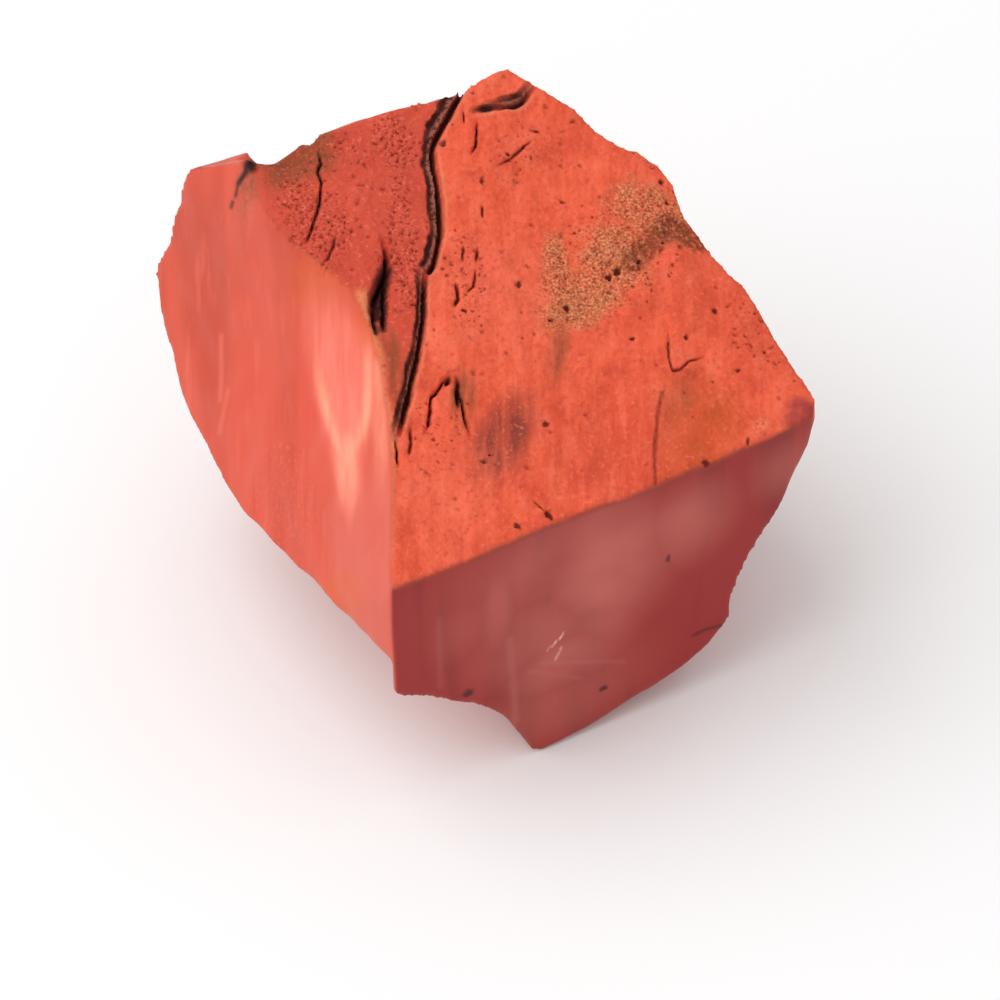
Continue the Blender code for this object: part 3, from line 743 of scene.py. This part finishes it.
def ovals(plan, rows, wobble=0.0):
    """The strongest of several ovals. A row has the strength, middle, half widths, turn and softness."""
    return either(*(strength * oval(plan, *row, wobble=wobble) for strength, *row in rows))


def strokes(plan, rows):
    """The strongest of several strokes. A row has the strength, path, half width and softness."""
    return either(*(strength * stroke(plan, *row) for strength, *row in rows))


# %% Patches of the rind, by place seen from above
MAIN_CRACK = (  # from rim to rim, because the rind is duller on its left
    (-5.4, -18.6), (-5.2, -12.0), (-4.9, -8.4), (-4.2, -5.0), (-3.6, -1.0), (-3.5, 1.5), (-2.6, 5.0),
    (-3.0, 9.5), (-2.4, 11.5), (-0.8, 14.4), (0.0, 20.0),
)
BROWN_BAND = (  # the brown granular band
    (1, 10.4, 7.3, 2.7, 1.6, -15, 0.45), (1, 8.1, 4.0, 2.1, 2.1, 0, 0.45), (1, 6.2, 1.4, 2.9, 1.6, 35, 0.45),
    (1, 4.5, 3.0, 0.8, 1.9, 0, 0.5),
)
BAND_SHADE = ((9.3, 3.9), (10.4, 5.2), (11.6, 6.6), (13.2, 6.0))
SHADED_HOLE = (  # the hollow beside the left face, with two legs, painted black as its shade
    (1, ((-5.75, 1.25), (-5.97, 0.52), (-6.34, -0.42), (-6.43, -1.22)), 0.42, 0.5),
    (0.8, ((-6.46, -1.32), (-6.39, -2.4)), 0.16, 0.7), (0.8, ((-5.89, -0.46), (-5.88, -2.23)), 0.18, 0.7),
)
RIGHT_LINE = ((10.45, -9.5), (10.5, -7.1), (10.6, -5.9), (10.75, -4.8), (11.0, -3.8))
TIP_STAIN = ((-13.6, 6.2), (-12.0, 7.2), (-10.2, 8.0))
BROWN_EDGE = ((-6.0, -2.4), (-5.4, -3.2), (-5.0, -4.6), (-4.95, -6.0))
BROWN_SPOTS = (
    (1, -1.1, -5.9, 0.8, 1.6, 0, 0.6), (0.8, 4.6, -2.4, 0.55, 1.5, -10, 0.7),
    (0.6, 12.0, -4.2, 0.7, 1.6, -20, 0.7),
)
LIGHT_SPOTS = ((1, 1.2, 0.5, 4.5, 3.4, 0, 0.8), (1, -2.2, -12.0, 2.4, 2.6, 0, 0.8))
DEEP_SPOTS = ((1, 8.4, -7.2, 3.2, 2.8, 0, 0.8), (1, 15.4, 2.4, 3.0, 2.0, -50, 0.8))
OLIVE_STRIP = (
    (1, ((-7.2, -0.6), (-6.6, -2.9), (-6.2, -4.4), (-6.2, -5.6), (-5.8, -7.4), (-5.4, -9.3)), 0.42, 0.8),
    (0.7, ((-5.35, -8.6), (-5.3, -11.0), (-5.4, -16.5)), 0.18, 0.8),
)
OCHRE_CORNER = (13.0, -6.2, 3.0, 3.2, 0, 0.45)
OCHRE_FROM = (10.4, 10.8)  # its left border
SMUDGE_SPOT = (1.4, -8.1, 1.5, 2.7, -28, 0.6)
# the second spot is a pale patch on the edge of the sawn face: a painted highlight
BEVEL_SPOT, BEVEL_HIGHLIGHT_SPOT = (19.6, -4.53, 1.2, 1.4, 20, 0.35), (16.9, -5.2, 0.8, 0.35, 45, 0.5)
STREAKY_SPOT = (7.6, -8.2, 4.0, 4.0, 0, 0.6)
BEND = ((1.2, 0.35), (0.45, 0.25))  # how the outlines of the patches stray
CRACKED, PITTED_FROM = 0.3, 0.2  # cracks and pits show only where the rind's share is above these

place = moved[:, :2]
place_ragged = place + 0.6 * ragged
bend = lumps(moved, BEND, 7.7, near_rim)
hole_shade = strokes(place_ragged, SHADED_HOLE)
right_line = stroke(place_ragged, RIGHT_LINE, 0.13, 0.9)
for name, share in (("rind", rind_share), ("left", left_share), ("sawn", sawn_share)):
    keep(name, share)
for name, share in (
    ("line", shelf_line_shade), ("shelf", shelf), ("crack", either(slit_shade, 0.9 * hole_shade)), ("lip", pale_lip),
    ("slit", slit_open), ("hair", either(hair_open, 0.6 * right_line)),
):
    keep(name, np.where(rind_share > CRACKED, share, 0))
for name, share in (("pit", pit_open), ("spot", spot_open)):
    keep(name, np.where(rind_share > PITTED_FROM, share, 0))
keep("west", ramp(path_measure(place, MAIN_CRACK)[0], 0.15, -0.15))
keep("pitted", pitted_share(place))
keep("patch", ovals(place, BROWN_BAND, bend))
keep("patch_dark", stroke(place, BAND_SHADE, 0.7, 0.5))
keep("ochre", both(oval(place, *OCHRE_CORNER), ramp(place[:, 0], *OCHRE_FROM)))
keep("smudge", oval(place, *SMUDGE_SPOT, 0.4 * bend))
keep("stain", either(stroke(place, TIP_STAIN, 1.2, 0.7), in_hollow * (1 - tip_side)))
keep("blend", both(ramp(from_sheet, 1.5, 0.2), ramp(place[:, 0], -10.5, -12.5), rind_share))
keep("pocket", oval(place + ragged, *POCKET_BOWL))
keep("brown", either(stroke(place, BROWN_EDGE, 0.55, 0.8), ovals(place, BROWN_SPOTS)))
keep("bevel", oval(place, *BEVEL_SPOT, 0.3 * bend))
keep("bevel_highlight", oval(place, *BEVEL_HIGHLIGHT_SPOT))
keep("light", ovals(place, LIGHT_SPOTS))
keep("deep", ovals(place, DEEP_SPOTS))
keep("streaky", either(oval(place, *STREAKY_SPOT), 0.4 * on_top))
keep("side", both(ramp(points[:, 0], 16.6, 17.6), ramp(points[:, 1], 1.5, -0.5), 1 - rind_share))
keep("olive", strokes(place, OLIVE_STRIP))

# %% Patches of the left face, by way across and way up it
# Way up is measured along the slope that faces the viewer, so it is (y + z) / sqrt 2
HIGHLIGHT_LOBE = (  # way up, middle, half width of the pale lobe, a painted highlight
    (3.5, -7.9, 0.05), (5.5, -7.95, 0.3), (7.5, -8.05, 0.6), (9.2, -8.15, 0.9), (11.1, -8.1, 1.25),
    (12.8, -8.3, 1.5), (14.6, -8.5, 1.7), (16.2, -8.8, 1.7), (18.0, -9.4, 1.2), (20.5, -10.0, 0.8),
)
HIGHLIGHT_ARMS = (  # painted highlight arms beside the pale lobe: strength, path, half width, then the way up where an arm begins to show and is fully there
    (1, ((-10.0, 17.0), (-9.9, 14.1), (-9.6, 12.5), (-9.2, 11.1), (-8.7, 9.8), (-8.2, 8.8)),
     0.28, 16.5, 11.5),
    (1, ((-6.8, 15.6), (-6.8, 13.6), (-6.9, 11.7), (-7.3, 10.2), (-7.9, 8.9)), 0.26, 16.5, 14.0),
    (1, ((-8.1, 9.6), (-8.1, 8.0), (-7.9, 5.5)), 0.66, 5.0, 8.6),
    (0.6, ((-6.4, 14.5), (-6.1, 12.0), (-5.9, 9.3), (-5.8, 3.0)), 0.45, 5.0, 10.5),
)
WARM_SPOTS = (
    (0.8, -10.0, 19.6, 1.9, 1.6, -20, 0.7), (0.8, -8.5, 0.6, 1.4, 1.5, 0, 0.6),
    (0.8, -6.9, 16.6, 0.8, 1.6, 20, 0.6),
)
DARK_BAND = (-16.6, 15.4, 1.1, 3.6, 0, 0.5)
PALE_SPOT = (-12.0, 17.4, 0.7, 3.2, 0, 0.9)
PALE_STREAKS = (
    (0.6, ((-16.2, 16.6), (-16.3, 12.6)), 0.14, 0.9), (0.6, ((-15.8, 13.2), (-16.4, 10.6)), 0.14, 0.9),
)
TIP_NICK = (-14.05, 26.75, 0.42, 0.5, 25, 0.5)
NICK_CRACKS = (
    (1, ((-14.2, 26.9), (-14.35, 26.3), (-14.8, 25.7)), 0.17, 0.7),
    (0.9, ((-14.8, 25.7), (-15.0, 24.95)), 0.09, 0.9), (0.8, ((-15.2, 24.6), (-15.3, 24.3)), 0.12, 0.9),
)
GRAINY_SPOTS = ((1, -12.0, 9.0, 1.5, 1.1, 0, 0.4), (0.8, -12.6, 5.2, 3.4, 3.0, 0, 0.4))

up_face = (moved[:, 1] + moved[:, 2]) / math.sqrt(2)
left_plan = np.stack([moved[:, 0], up_face], axis=1)
highlight_up, highlight_middle, highlight_half = np.array(HIGHLIGHT_LOBE).T
off_highlight = np.abs(left_plan[:, 0] - np.interp(up_face, highlight_up, highlight_middle))
reach = off_highlight / np.interp(up_face, highlight_up, highlight_half)
keep("lobe", both(ramp(reach, 1.6, 0.4), ramp(up_face, 21.5, 15.5), ramp(up_face, 3.5, 7.5)))
keep("lobe_edge", either(*(
    strength * both(stroke(left_plan, path, half_width, 0.9), ramp(up_face, none_at, full_at))
    for strength, path, half_width, none_at, full_at in HIGHLIGHT_ARMS
)))
# painted sheen: the pinker strip low beside the front corner
keep("pink", both(ramp(left_plan[:, 0], -9.6, -8.4), ramp(up_face, 8.5, 6.0)))
keep("warm", ovals(left_plan, WARM_SPOTS))
keep("dark_band", oval(left_plan, *DARK_BAND))
keep("streak", either(0.45 * oval(left_plan, *PALE_SPOT), strokes(left_plan, PALE_STREAKS)))
rough_plan = left_plan + 0.8 * ragged
nicks = either(oval(rough_plan, *TIP_NICK), strokes(rough_plan, NICK_CRACKS))
keep("nick", both(nicks, ramp(to_viewer, -0.2, 0.1)))
keep("grainy", ovals(left_plan, GRAINY_SPOTS))

# %% Patches of the sawn face, by way along it and height
# the whitish haze of the sawn face: partly dust, partly painted sheen
DUST_AND_SHEEN_SPOTS = (
    (1, 14.7, 14.6, 3.6, 4.6, 10, 0.8), (0.55, 10.9, 16.4, 6.0, 3.4, 0, 0.9),
    (0.6, 14.4, 10.7, 2.4, 4.4, 0, 0.8), (0.6, 7.2, 14.2, 1.3, 4.6, 0, 0.8),
    (0.7, 20.1, 15.4, 2.8, 2.8, 0, 0.8), (0.75, 11.8, 7.4, 3.6, 2.4, 0, 0.8),
    (0.4, 5.1, 13.8, 2.2, 2.4, 0, 0.9), (0.45, 27.3, 17.0, 2.0, 2.0, 0, 0.9),
    (0.6, 10.2, 10.6, 4.2, 3.4, 0, 0.9), (0.45, 12.0, 4.0, 5.0, 3.4, 0, 0.9),
)
SCRATCHES = (
    (1, ((10.7, 9.1), (11.7, 9.9)), 0.07, 0.5), (0.6, ((11.6, 8.8), (11.2, 8.0)), 0.07, 0.5),
    (0.05, ((3.2, 15.5), (3.2, 9.5)), 0.2, 0.9), (0.07, ((8.0, 11.3), (8.4, 3.7)), 0.24, 0.9),
    (0.06, ((10.2, 8.1), (16.1, 5.3)), 0.12, 0.9), (0.05, ((9.4, 7.8), (13.1, 5.2)), 0.12, 0.9),
)
SAW_PITS = (
    (1, 14.6, 3.6, 0.3, 0.25, 0, 0.25), (1, 19.0, 13.0, 0.14, 0.3, 0, 0.25), (1, 5.1, 8.0, 0.4, 0.3, 0, 0.25),
)
SAW_GROOVE = ((21.0, 5.2), (21.8, 5.3), (23.1, 5.1))

along_saw = (moved - np.array(FRONT_CORNER)) @ np.array(SAW_ALONG)
saw_plan = np.stack([along_saw, moved[:, 2]], axis=1)
keep("dust_and_sheen", ovals(saw_plan, DUST_AND_SHEEN_SPOTS))
keep("scratch", strokes(saw_plan, SCRATCHES))
keep("saw_edge", both(sawn_share, ramp(below_rind, 0.55, 0.15)))
keep("saw_pit", either(ovals(saw_plan, SAW_PITS), 0.8 * stroke(saw_plan, SAW_GROOVE, 0.15, 0.8)))
print("patches kept:", len(patch_names))

# %% [markdown]
# ## Fewer triangles where nobody looks
# The seen faces keep every point, and the broken back is thinned, because a net that is fine enough for the
# hairlines all round would be heavier than the part may be. A vertex group tells the Decimate modifier where.

# %% Thin out, centre and hand over to the frame
MOST_TRIANGLES = 194_000
SHARP_FROM = math.radians(50)


def thin_out(obj, protected):
    group = obj.vertex_groups.new(name="may go")
    for i in np.flatnonzero(~protected):
        group.add([int(i)], 1.0, "REPLACE")
    obj.data.calc_loop_triangles()
    thin = obj.modifiers.new("thin out", "DECIMATE")
    thin.ratio = MOST_TRIANGLES / len(obj.data.loop_triangles)
    thin.vertex_group = group.name
    apply_modifiers(obj)


seen = (rind_share > 0.5) | (left_share > 0.5) | (sawn_share > 0.5)
thin_out(stone, seen)
mesh = stone.data
low, high = moved.min(axis=0), moved.max(axis=0)
shown_middle = Vector(((low[0] + high[0]) / 2, (low[1] + high[1]) / 2, low[2])) * MM
node_middle = (node_low + node_high) / 2
shift = Vector((node_middle.x, node_middle.y, 0.0)) - shown_middle
mesh.transform(Matrix.Translation(shift) @ Matrix.Scale(MM, 4))
for polygon in mesh.polygons:
    polygon.use_smooth = True
mesh.set_sharp_from_angle(angle=SHARP_FROM)
mesh.calc_loop_triangles()
print("triangles:", len(mesh.loop_triangles), "seen points:", int(seen.sum()))
print("shift, mm:", [round(v / MM, 3) for v in shift])

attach(stone, "root")
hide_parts("jasper_stone")

# %% [markdown]
# ## The finish of the stone
# Jasper is opaque, with the refractive index of quartz. Where it is weathered or broken it scatters light
# like brick, where a saw or a clean break has smoothed it there is a satin shine. One material holds all
# faces, because on the real stone they are one mineral whose colour shifts from face to face; the sawn face's
# deeper colour also holds painted shade. The patches kept on the points say where each colour goes, and noise
# of a real size gives each its grain. Some patches are painted light: the shade of cracks and pits, a
# highlight and a sheen on the left face and a sheen in the sawn face's haze.

# %% Helpers of the material
def linear(hex_colour):
    """sRGB hex to the linear values that the renderer works in."""
    shares = [int(hex_colour[i:i + 2], 16) / 255 for i in (1, 3, 5)]
    return tuple(s / 12.92 if s <= 0.04045 else ((s + 0.055) / 1.055) ** 2.4 for s in shares) + (1.0,)


def add(tree, kind, inputs=None, **settings):
    """Adds one node. Settings are its own, and inputs maps a socket to a value or to another's output."""
    made = tree.nodes.new(kind)
    for name, value in settings.items():
        setattr(made, name, value)
    for socket, value in (inputs or {}).items():
        if isinstance(value, bpy.types.NodeSocket):
            tree.links.new(value, made.inputs[socket])
        else:
            made.inputs[socket].default_value = value
    return made


def per_metre(size_mm):
    """Noise scale whose features are about that many millimetres."""
    return 1.0 / (size_mm * MM)


jasper = bpy.data.materials.new("red_jasper_weathered_broken_and_sawn")
jasper.use_nodes = True
tree = jasper.node_tree
tree.nodes.clear()
where = add(tree, "ShaderNodeTexCoord").outputs["Object"]
kept = {
    name: add(tree, "ShaderNodeAttribute", attribute_name=name).outputs["Fac"] for name in patch_names
}


def clouded(where, size_mm, detail):
    """Noise whose features are about that many millimetres."""
    inputs = {"Vector": where, "Scale": per_metre(size_mm), "Detail": detail}
    return add(tree, "ShaderNodeTexNoise", inputs).outputs["Fac"]


def spread(value, low, high, to_low=0.0, to_high=1.0):
    """The part of a number between low and high, drawn out to the full range."""
    return add(
        tree, "ShaderNodeMapRange",
        {"Value": value, "From Min": low, "From Max": high, "To Min": to_low, "To Max": to_high},
    ).outputs["Result"]


def times(a, b):
    return add(tree, "ShaderNodeMath", {0: a, 1: b}, operation="MULTIPLY").outputs[0]


def within(name, share):
    """A share that only counts within the patch of that name."""
    return times(kept[name], share)


def between(share, none, full):
    """The number that a share of 0 to 1 picks between none and full."""
    return add(tree, "ShaderNodeMix", {0: share, 2: none, 3: full}, data_type="FLOAT").outputs[0]


def layered(base, *layers):
    """Lays colours over a base one after another, each by its share of 0 to 1."""
    for colour, share in layers:
        base = add(tree, "ShaderNodeMix", {0: share, 6: base, 7: colour}, data_type="RGBA").outputs[2]
    return base


# %% Noise of real sizes
MOTTLE_MM = 1.7  # clouds of lighter and deeper red in the rind
GRAIN_MM = 0.30  # the rind's grain, drawn a little coarse so that it shows
CLOUD_MM = 5.0  # slow changes over a whole face
SPECK_MM = 0.16
CELL_MM = 0.42  # the crumbs that make the surface rough
STREAK_MM, WIDE_STREAK_MM = 0.55, 2.2
STREAK_STRETCH = (1.0, 0.12, 0.12)  # streaks run down the left face, so they vary slowly in Y and Z

stretched = add(tree, "ShaderNodeMapping", {"Vector": where, "Scale": STREAK_STRETCH}).outputs["Vector"]
mottle = clouded(where, MOTTLE_MM, 3.0)
grain = clouded(where, GRAIN_MM, 2.0)
clouds = clouded(where, CLOUD_MM, 2.0)
specks = clouded(where, SPECK_MM, 1.0)
streaks = clouded(stretched, STREAK_MM, 3.0)
wide_streaks = clouded(stretched, WIDE_STREAK_MM, 2.0)
cells = add(tree, "ShaderNodeTexVoronoi", {"Vector": where, "Scale": per_metre(CELL_MM)}, feature="F1")


# %% Colour of the rind
RIND_RED = linear("#EA5E3F")
RIND_DEEP = linear("#CF4A31")
RIND_BRIGHT = linear("#F8765A")
WEST_RED = linear("#C54635")
# painted light of the pits: pale rims as painted highlight, dark hollows as painted shade
PIT_RIM_HIGHLIGHT = linear("#E07460")
PIT_SHADE_DARK = linear("#7C2013")
SPOT_SHADE_DARK = linear("#5A170C")
POCKET_BROWN = linear("#6A2E1C")
HAIR_DARK = linear("#74200F")
SHELF_BROWN = linear("#A05C4B")
SHELF_SHADE = linear("#5C2C22")
LEFT_SALMON = linear("#D6533D")
# painted shade: the dark line where the shelf's wall faces away from the light
LINE_SHADE_DARK = linear("#41140F")
BEVEL_RED = linear("#A93F38")
LIP_PALE = linear("#E88060")
# painted shade: the black inside open cracks, slits, the hollow, the nicks and the saw pits
CRACK_SHADE_BLACK = linear("#2C0805")
OCHRE = linear("#C04E20")
SMUDGE_PURPLE = linear("#8E3D30")
STAIN_BROWN = linear("#86482A")
STRIP_PEACH = linear("#E88A5C")
PATCH_BROWN = linear("#C06A42")
PATCH_GOLD = linear("#F2A67C")
PATCH_BLACK = linear("#6C3315")

shelf_colour = layered(SHELF_BROWN, (SHELF_SHADE, spread(grain, 0.55, 0.40)))
rind = layered(
    RIND_RED,
    (RIND_DEEP, spread(mottle, 0.52, 0.72, 0.0, 0.8)),
    (RIND_BRIGHT, spread(mottle, 0.48, 0.30, 0.0, 0.5)),
    (RIND_BRIGHT, within("light", 0.35)),
    (RIND_DEEP, within("deep", 0.40)),
    (RIND_DEEP, within("streaky", spread(streaks, 0.50, 0.62, 0.0, 0.7))),
    (RIND_BRIGHT, within("streaky", spread(streaks, 0.47, 0.36, 0.0, 0.5))),
    (WEST_RED, within("west", spread(clouds, 0.2, 0.7, 0.95, 0.6))),
    (OCHRE, within("ochre", spread(clouds, 0.3, 0.6, 0.9, 0.35))),
    (STAIN_BROWN, within("stain", spread(grain, 0.35, 0.65, 0.6, 1.0))),
    (STRIP_PEACH, within("olive", 0.85)),
    (SMUDGE_PURPLE, within("smudge", spread(streaks, 0.34, 0.58, 0.45, 1.0))),
    (PATCH_BROWN, within("patch", spread(mottle, 0.38, 0.62, 1.0, 0.6))),
    (PATCH_GOLD, within("patch", spread(specks, 0.53, 0.66, 0.0, 0.65))),
    (PATCH_BLACK, within("patch", spread(specks, 0.45, 0.34, 0.0, 0.6))),
    (PATCH_BLACK, within("patch_dark", spread(grain, 0.62, 0.40, 0.5, 0.95))),
    (RIND_BRIGHT, spread(grain, 0.58, 0.72, 0.0, 0.5)),
    (RIND_DEEP, spread(grain, 0.43, 0.30, 0.0, 0.6)),
    # specks stand for pits too small for the net: painted shade in them and painted highlight on their rims
    (PIT_SHADE_DARK, within("pitted", spread(specks, 0.42, 0.33, 0.0, 0.55))),
    (PIT_RIM_HIGHLIGHT, within("pitted", spread(specks, 0.58, 0.68, 0.0, 0.6))),
    (PIT_SHADE_DARK, within("pit", 0.7)),
    (LEFT_SALMON, within("blend", 0.75)),
    (STAIN_BROWN, within("brown", spread(streaks, 0.35, 0.60, 0.25, 0.85))),
    (BEVEL_RED, within("bevel", spread(mottle, 0.30, 0.50, 0.6, 1.0))),
    # painted highlight on the edge of the sawn face
    (LIP_PALE, within("bevel_highlight", spread(specks, 0.42, 0.55, 0.0, 0.8))),
    (POCKET_BROWN, within("pocket", spread(grain, 0.62, 0.42, 0.35, 1.0))),
    (HAIR_DARK, spread(kept["hair"], 0.15, 0.7)),
    # painted shade in the named pits
    (SPOT_SHADE_DARK, spread(kept["spot"], 0.1, 0.7, 0.0, 0.9)),
    (LIP_PALE, within("lip", 0.55)),
    (shelf_colour, kept["shelf"]),
    # painted shade along the wall down to the shelf
    (LINE_SHADE_DARK, within("line", spread(mottle, 0.35, 0.55, 0.55, 1.0))),
    # painted shade: the black slit, the hollow and the narrow cracks
    (CRACK_SHADE_BLACK, kept["crack"]),
    (CRACK_SHADE_BLACK, spread(kept["slit"], 0.3, 0.8)),
)

# %% Colour of the left face
LEFT_DEEP = linear("#C64933")
LEFT_LIGHT = linear("#E46650")
# colours of the painted highlight on the left face
HIGHLIGHT_PINK = linear("#F27B67")
HIGHLIGHT_PEACH = linear("#FA9A7A")
LEFT_PINK_SHEEN = linear("#D55C4A")
LEFT_WARM = linear("#D65A20")

left = layered(
    LEFT_SALMON,
    (LEFT_DEEP, spread(wide_streaks, 0.52, 0.68)),
    (LEFT_LIGHT, spread(streaks, 0.55, 0.75, 0.0, 0.5)),
    (LEFT_DEEP, within("dark_band", 0.8)),
    # painted sheen low beside the front corner
    (LEFT_PINK_SHEEN, within("pink", 0.9)),
    (LEFT_WARM, within("warm", 0.7)),
    (STAIN_BROWN, within("stain", spread(grain, 0.35, 0.65, 0.35, 0.85))),
    # painted highlight: the pale lobe and its arms
    (HIGHLIGHT_PINK, within("lobe", spread(streaks, 0.35, 0.60, 0.6, 1.0))),
    (HIGHLIGHT_PEACH, within("lobe_edge", spread(streaks, 0.35, 0.60, 0.45, 0.9))),
    (LEFT_LIGHT, kept["streak"]),
    (LEFT_DEEP, within("grainy", spread(streaks, 0.48, 0.36, 0.0, 0.7))),
    (LEFT_LIGHT, within("grainy", spread(grain, 0.55, 0.66, 0.0, 0.4))),
)

# %% Colour of the sawn and of the broken faces
# the sawn face is darker than the rind partly by its own deeper maroon and partly by painted shade
SAWN_MAROON_AND_SHADE = linear("#9E2824")
SAWN_DUST_AND_SHEEN = linear("#C8685D")
SAWN_DEEP = linear("#8C201E")
SAW_EDGE_BROWN = linear("#8E3A24")
SCRATCH_PALE = linear("#F0B4A8")
BROKEN_RED = linear("#B04A36")
BROKEN_DEEP = linear("#8C3324")
BROKEN_PALE = linear("#CC6A50")
SIDE_MAROON = linear("#9C3430")

sawn = layered(
    SAWN_MAROON_AND_SHADE,
    (SAWN_DEEP, spread(wide_streaks, 0.50, 0.66)),
    # partly dust, partly painted sheen
    (SAWN_DUST_AND_SHEEN, within("dust_and_sheen", spread(clouds, 0.3, 0.65, 0.65, 1.0))),
    (SAW_EDGE_BROWN, within("saw_edge", spread(mottle, 0.35, 0.6, 0.35, 0.85))),
    (SCRATCH_PALE, kept["scratch"]),
    # painted shade in the saw pits
    (CRACK_SHADE_BLACK, within("saw_pit", 0.8)),
)
broken_colour = layered(
    BROKEN_RED,
    (BROKEN_DEEP, spread(mottle, 0.48, 0.75, 0.0, 0.8)),
    (BROKEN_PALE, spread(clouds, 0.52, 0.32, 0.0, 0.55)),
    (BROKEN_PALE, spread(specks, 0.60, 0.70, 0.0, 0.4)),
    (SIDE_MAROON, kept["side"]),
    (BROKEN_DEEP, spread(grain, 0.42, 0.3, 0.0, 0.6)),
)

# %% All faces together, their shine and their finest relief
ROUGH_BROKEN, ROUGH_RIND, ROUGH_LEFT, ROUGH_SAWN = 0.62, 0.85, 0.48, 0.45
BUMP_MM = 0.10

colour = layered(
    broken_colour,
    # the nicks of the left face are painted black as shade
    (rind, kept["rind"]), (left, kept["left"]), (sawn, kept["sawn"]), (CRACK_SHADE_BLACK, kept["nick"]),
)
rough = spread(kept["rind"], 0, 1, ROUGH_BROKEN, ROUGH_RIND)
rough = between(kept["left"], rough, ROUGH_LEFT)
rough = between(kept["sawn"], rough, ROUGH_SAWN)

crumbs = times(cells.outputs["Distance"], 0.6)
height = add(tree, "ShaderNodeMath", {0: grain, 1: crumbs}, operation="ADD").outputs[0]
height = times(height, spread(kept["rind"], 0, 1, 0.5, 1.0))
height = between(kept["left"], height, times(streaks, 0.25))
height = between(kept["sawn"], height, times(streaks, 0.12))
bump = add(tree, "ShaderNodeBump", {"Height": height, "Strength": 0.8, "Distance": BUMP_MM * MM})

shader = add(tree, "ShaderNodeBsdfPrincipled", {
    "Base Color": colour, "Roughness": rough, "Normal": bump.outputs["Normal"], "IOR": 1.54, "Metallic": 0.0,
    "Specular IOR Level": 0.22,
})
add(tree, "ShaderNodeOutputMaterial", {"Surface": shader.outputs["BSDF"]})
mesh.materials.clear()
mesh.materials.append(jasper)
print("nodes in the material:", len(tree.nodes))

# %% [markdown]
# ## Floor, light and camera
# A plain pale floor and a large soft light from the upper left leave the sawn face in its own shade, as in a
# product picture. The camera looks down at 45 degrees with a long lens, so that the edges hardly converge.

# %% Floor
FLOOR_HALF = 1.5
FLOOR_BELOW = 0.02 * MM  # a hair under the flat foot, so that the two faces don't flicker
bm = bmesh.new()
below = Matrix.Translation((0, 0, -FLOOR_BELOW))
bmesh.ops.create_grid(bm, x_segments=1, y_segments=1, size=FLOOR_HALF, matrix=below)
floor = new_object("floor", bm)
paper = bpy.data.materials.new("studio_paper_matt")
paper.use_nodes = True
paper_inputs = paper.node_tree.nodes["Principled BSDF"].inputs
for name, value in (("Base Color", linear("#FAFAFA")), ("Roughness", 0.9), ("Specular IOR Level", 0.2)):
    paper_inputs[name].default_value = value
floor.data.materials.append(paper)

# %% Light and camera
KEY_FROM = Vector((-0.60, -0.10, 0.79)).normalized()
KEY_TARGET = Vector((0, 0, 0.015))
KEY_DISTANCE = 0.6
KEY_SIZE = 0.8
KEY_WATTS = 2.5
FILL = 0.70
CAMERA_TARGET = Vector((1.21, -6.01, 15.0)) * MM
CAMERA_DISTANCE = 340 * MM
CAMERA_ELEVATION = math.radians(45)
CAMERA_LENS_MM, SENSOR_MM = 200, 36

key_data = bpy.data.lights.new("soft_key", "AREA")
key_data.shape = "DISK"
key_data.size = KEY_SIZE
key_data.energy = KEY_WATTS
key = bpy.data.objects.new("soft_key", key_data)
key.location = KEY_FROM * KEY_DISTANCE + KEY_TARGET
key.rotation_mode = "QUATERNION"
key.rotation_quaternion = KEY_FROM.to_track_quat("Z", "Y")
bpy.context.scene.collection.objects.link(key)

world = bpy.data.worlds.new("pale studio")
world.use_nodes = True
world.node_tree.nodes["Background"].inputs["Color"].default_value = (1.0, 1.0, 1.0, 1.0)
world.node_tree.nodes["Background"].inputs["Strength"].default_value = FILL
bpy.context.scene.world = world
bpy.context.scene.view_settings.view_transform = "Standard"

camera_data = bpy.data.cameras.new("camera")
camera_data.lens = CAMERA_LENS_MM
camera_data.sensor_width = SENSOR_MM
camera = bpy.data.objects.new("camera", camera_data)
back = Vector((0, -math.cos(CAMERA_ELEVATION), math.sin(CAMERA_ELEVATION)))
camera.location = CAMERA_TARGET + back * CAMERA_DISTANCE
camera.rotation_euler = (math.radians(90) - CAMERA_ELEVATION, 0, 0)
camera_data.clip_start = 0.01
camera_data.clip_end = 10
bpy.context.scene.collection.objects.link(camera)
bpy.context.scene.camera = camera
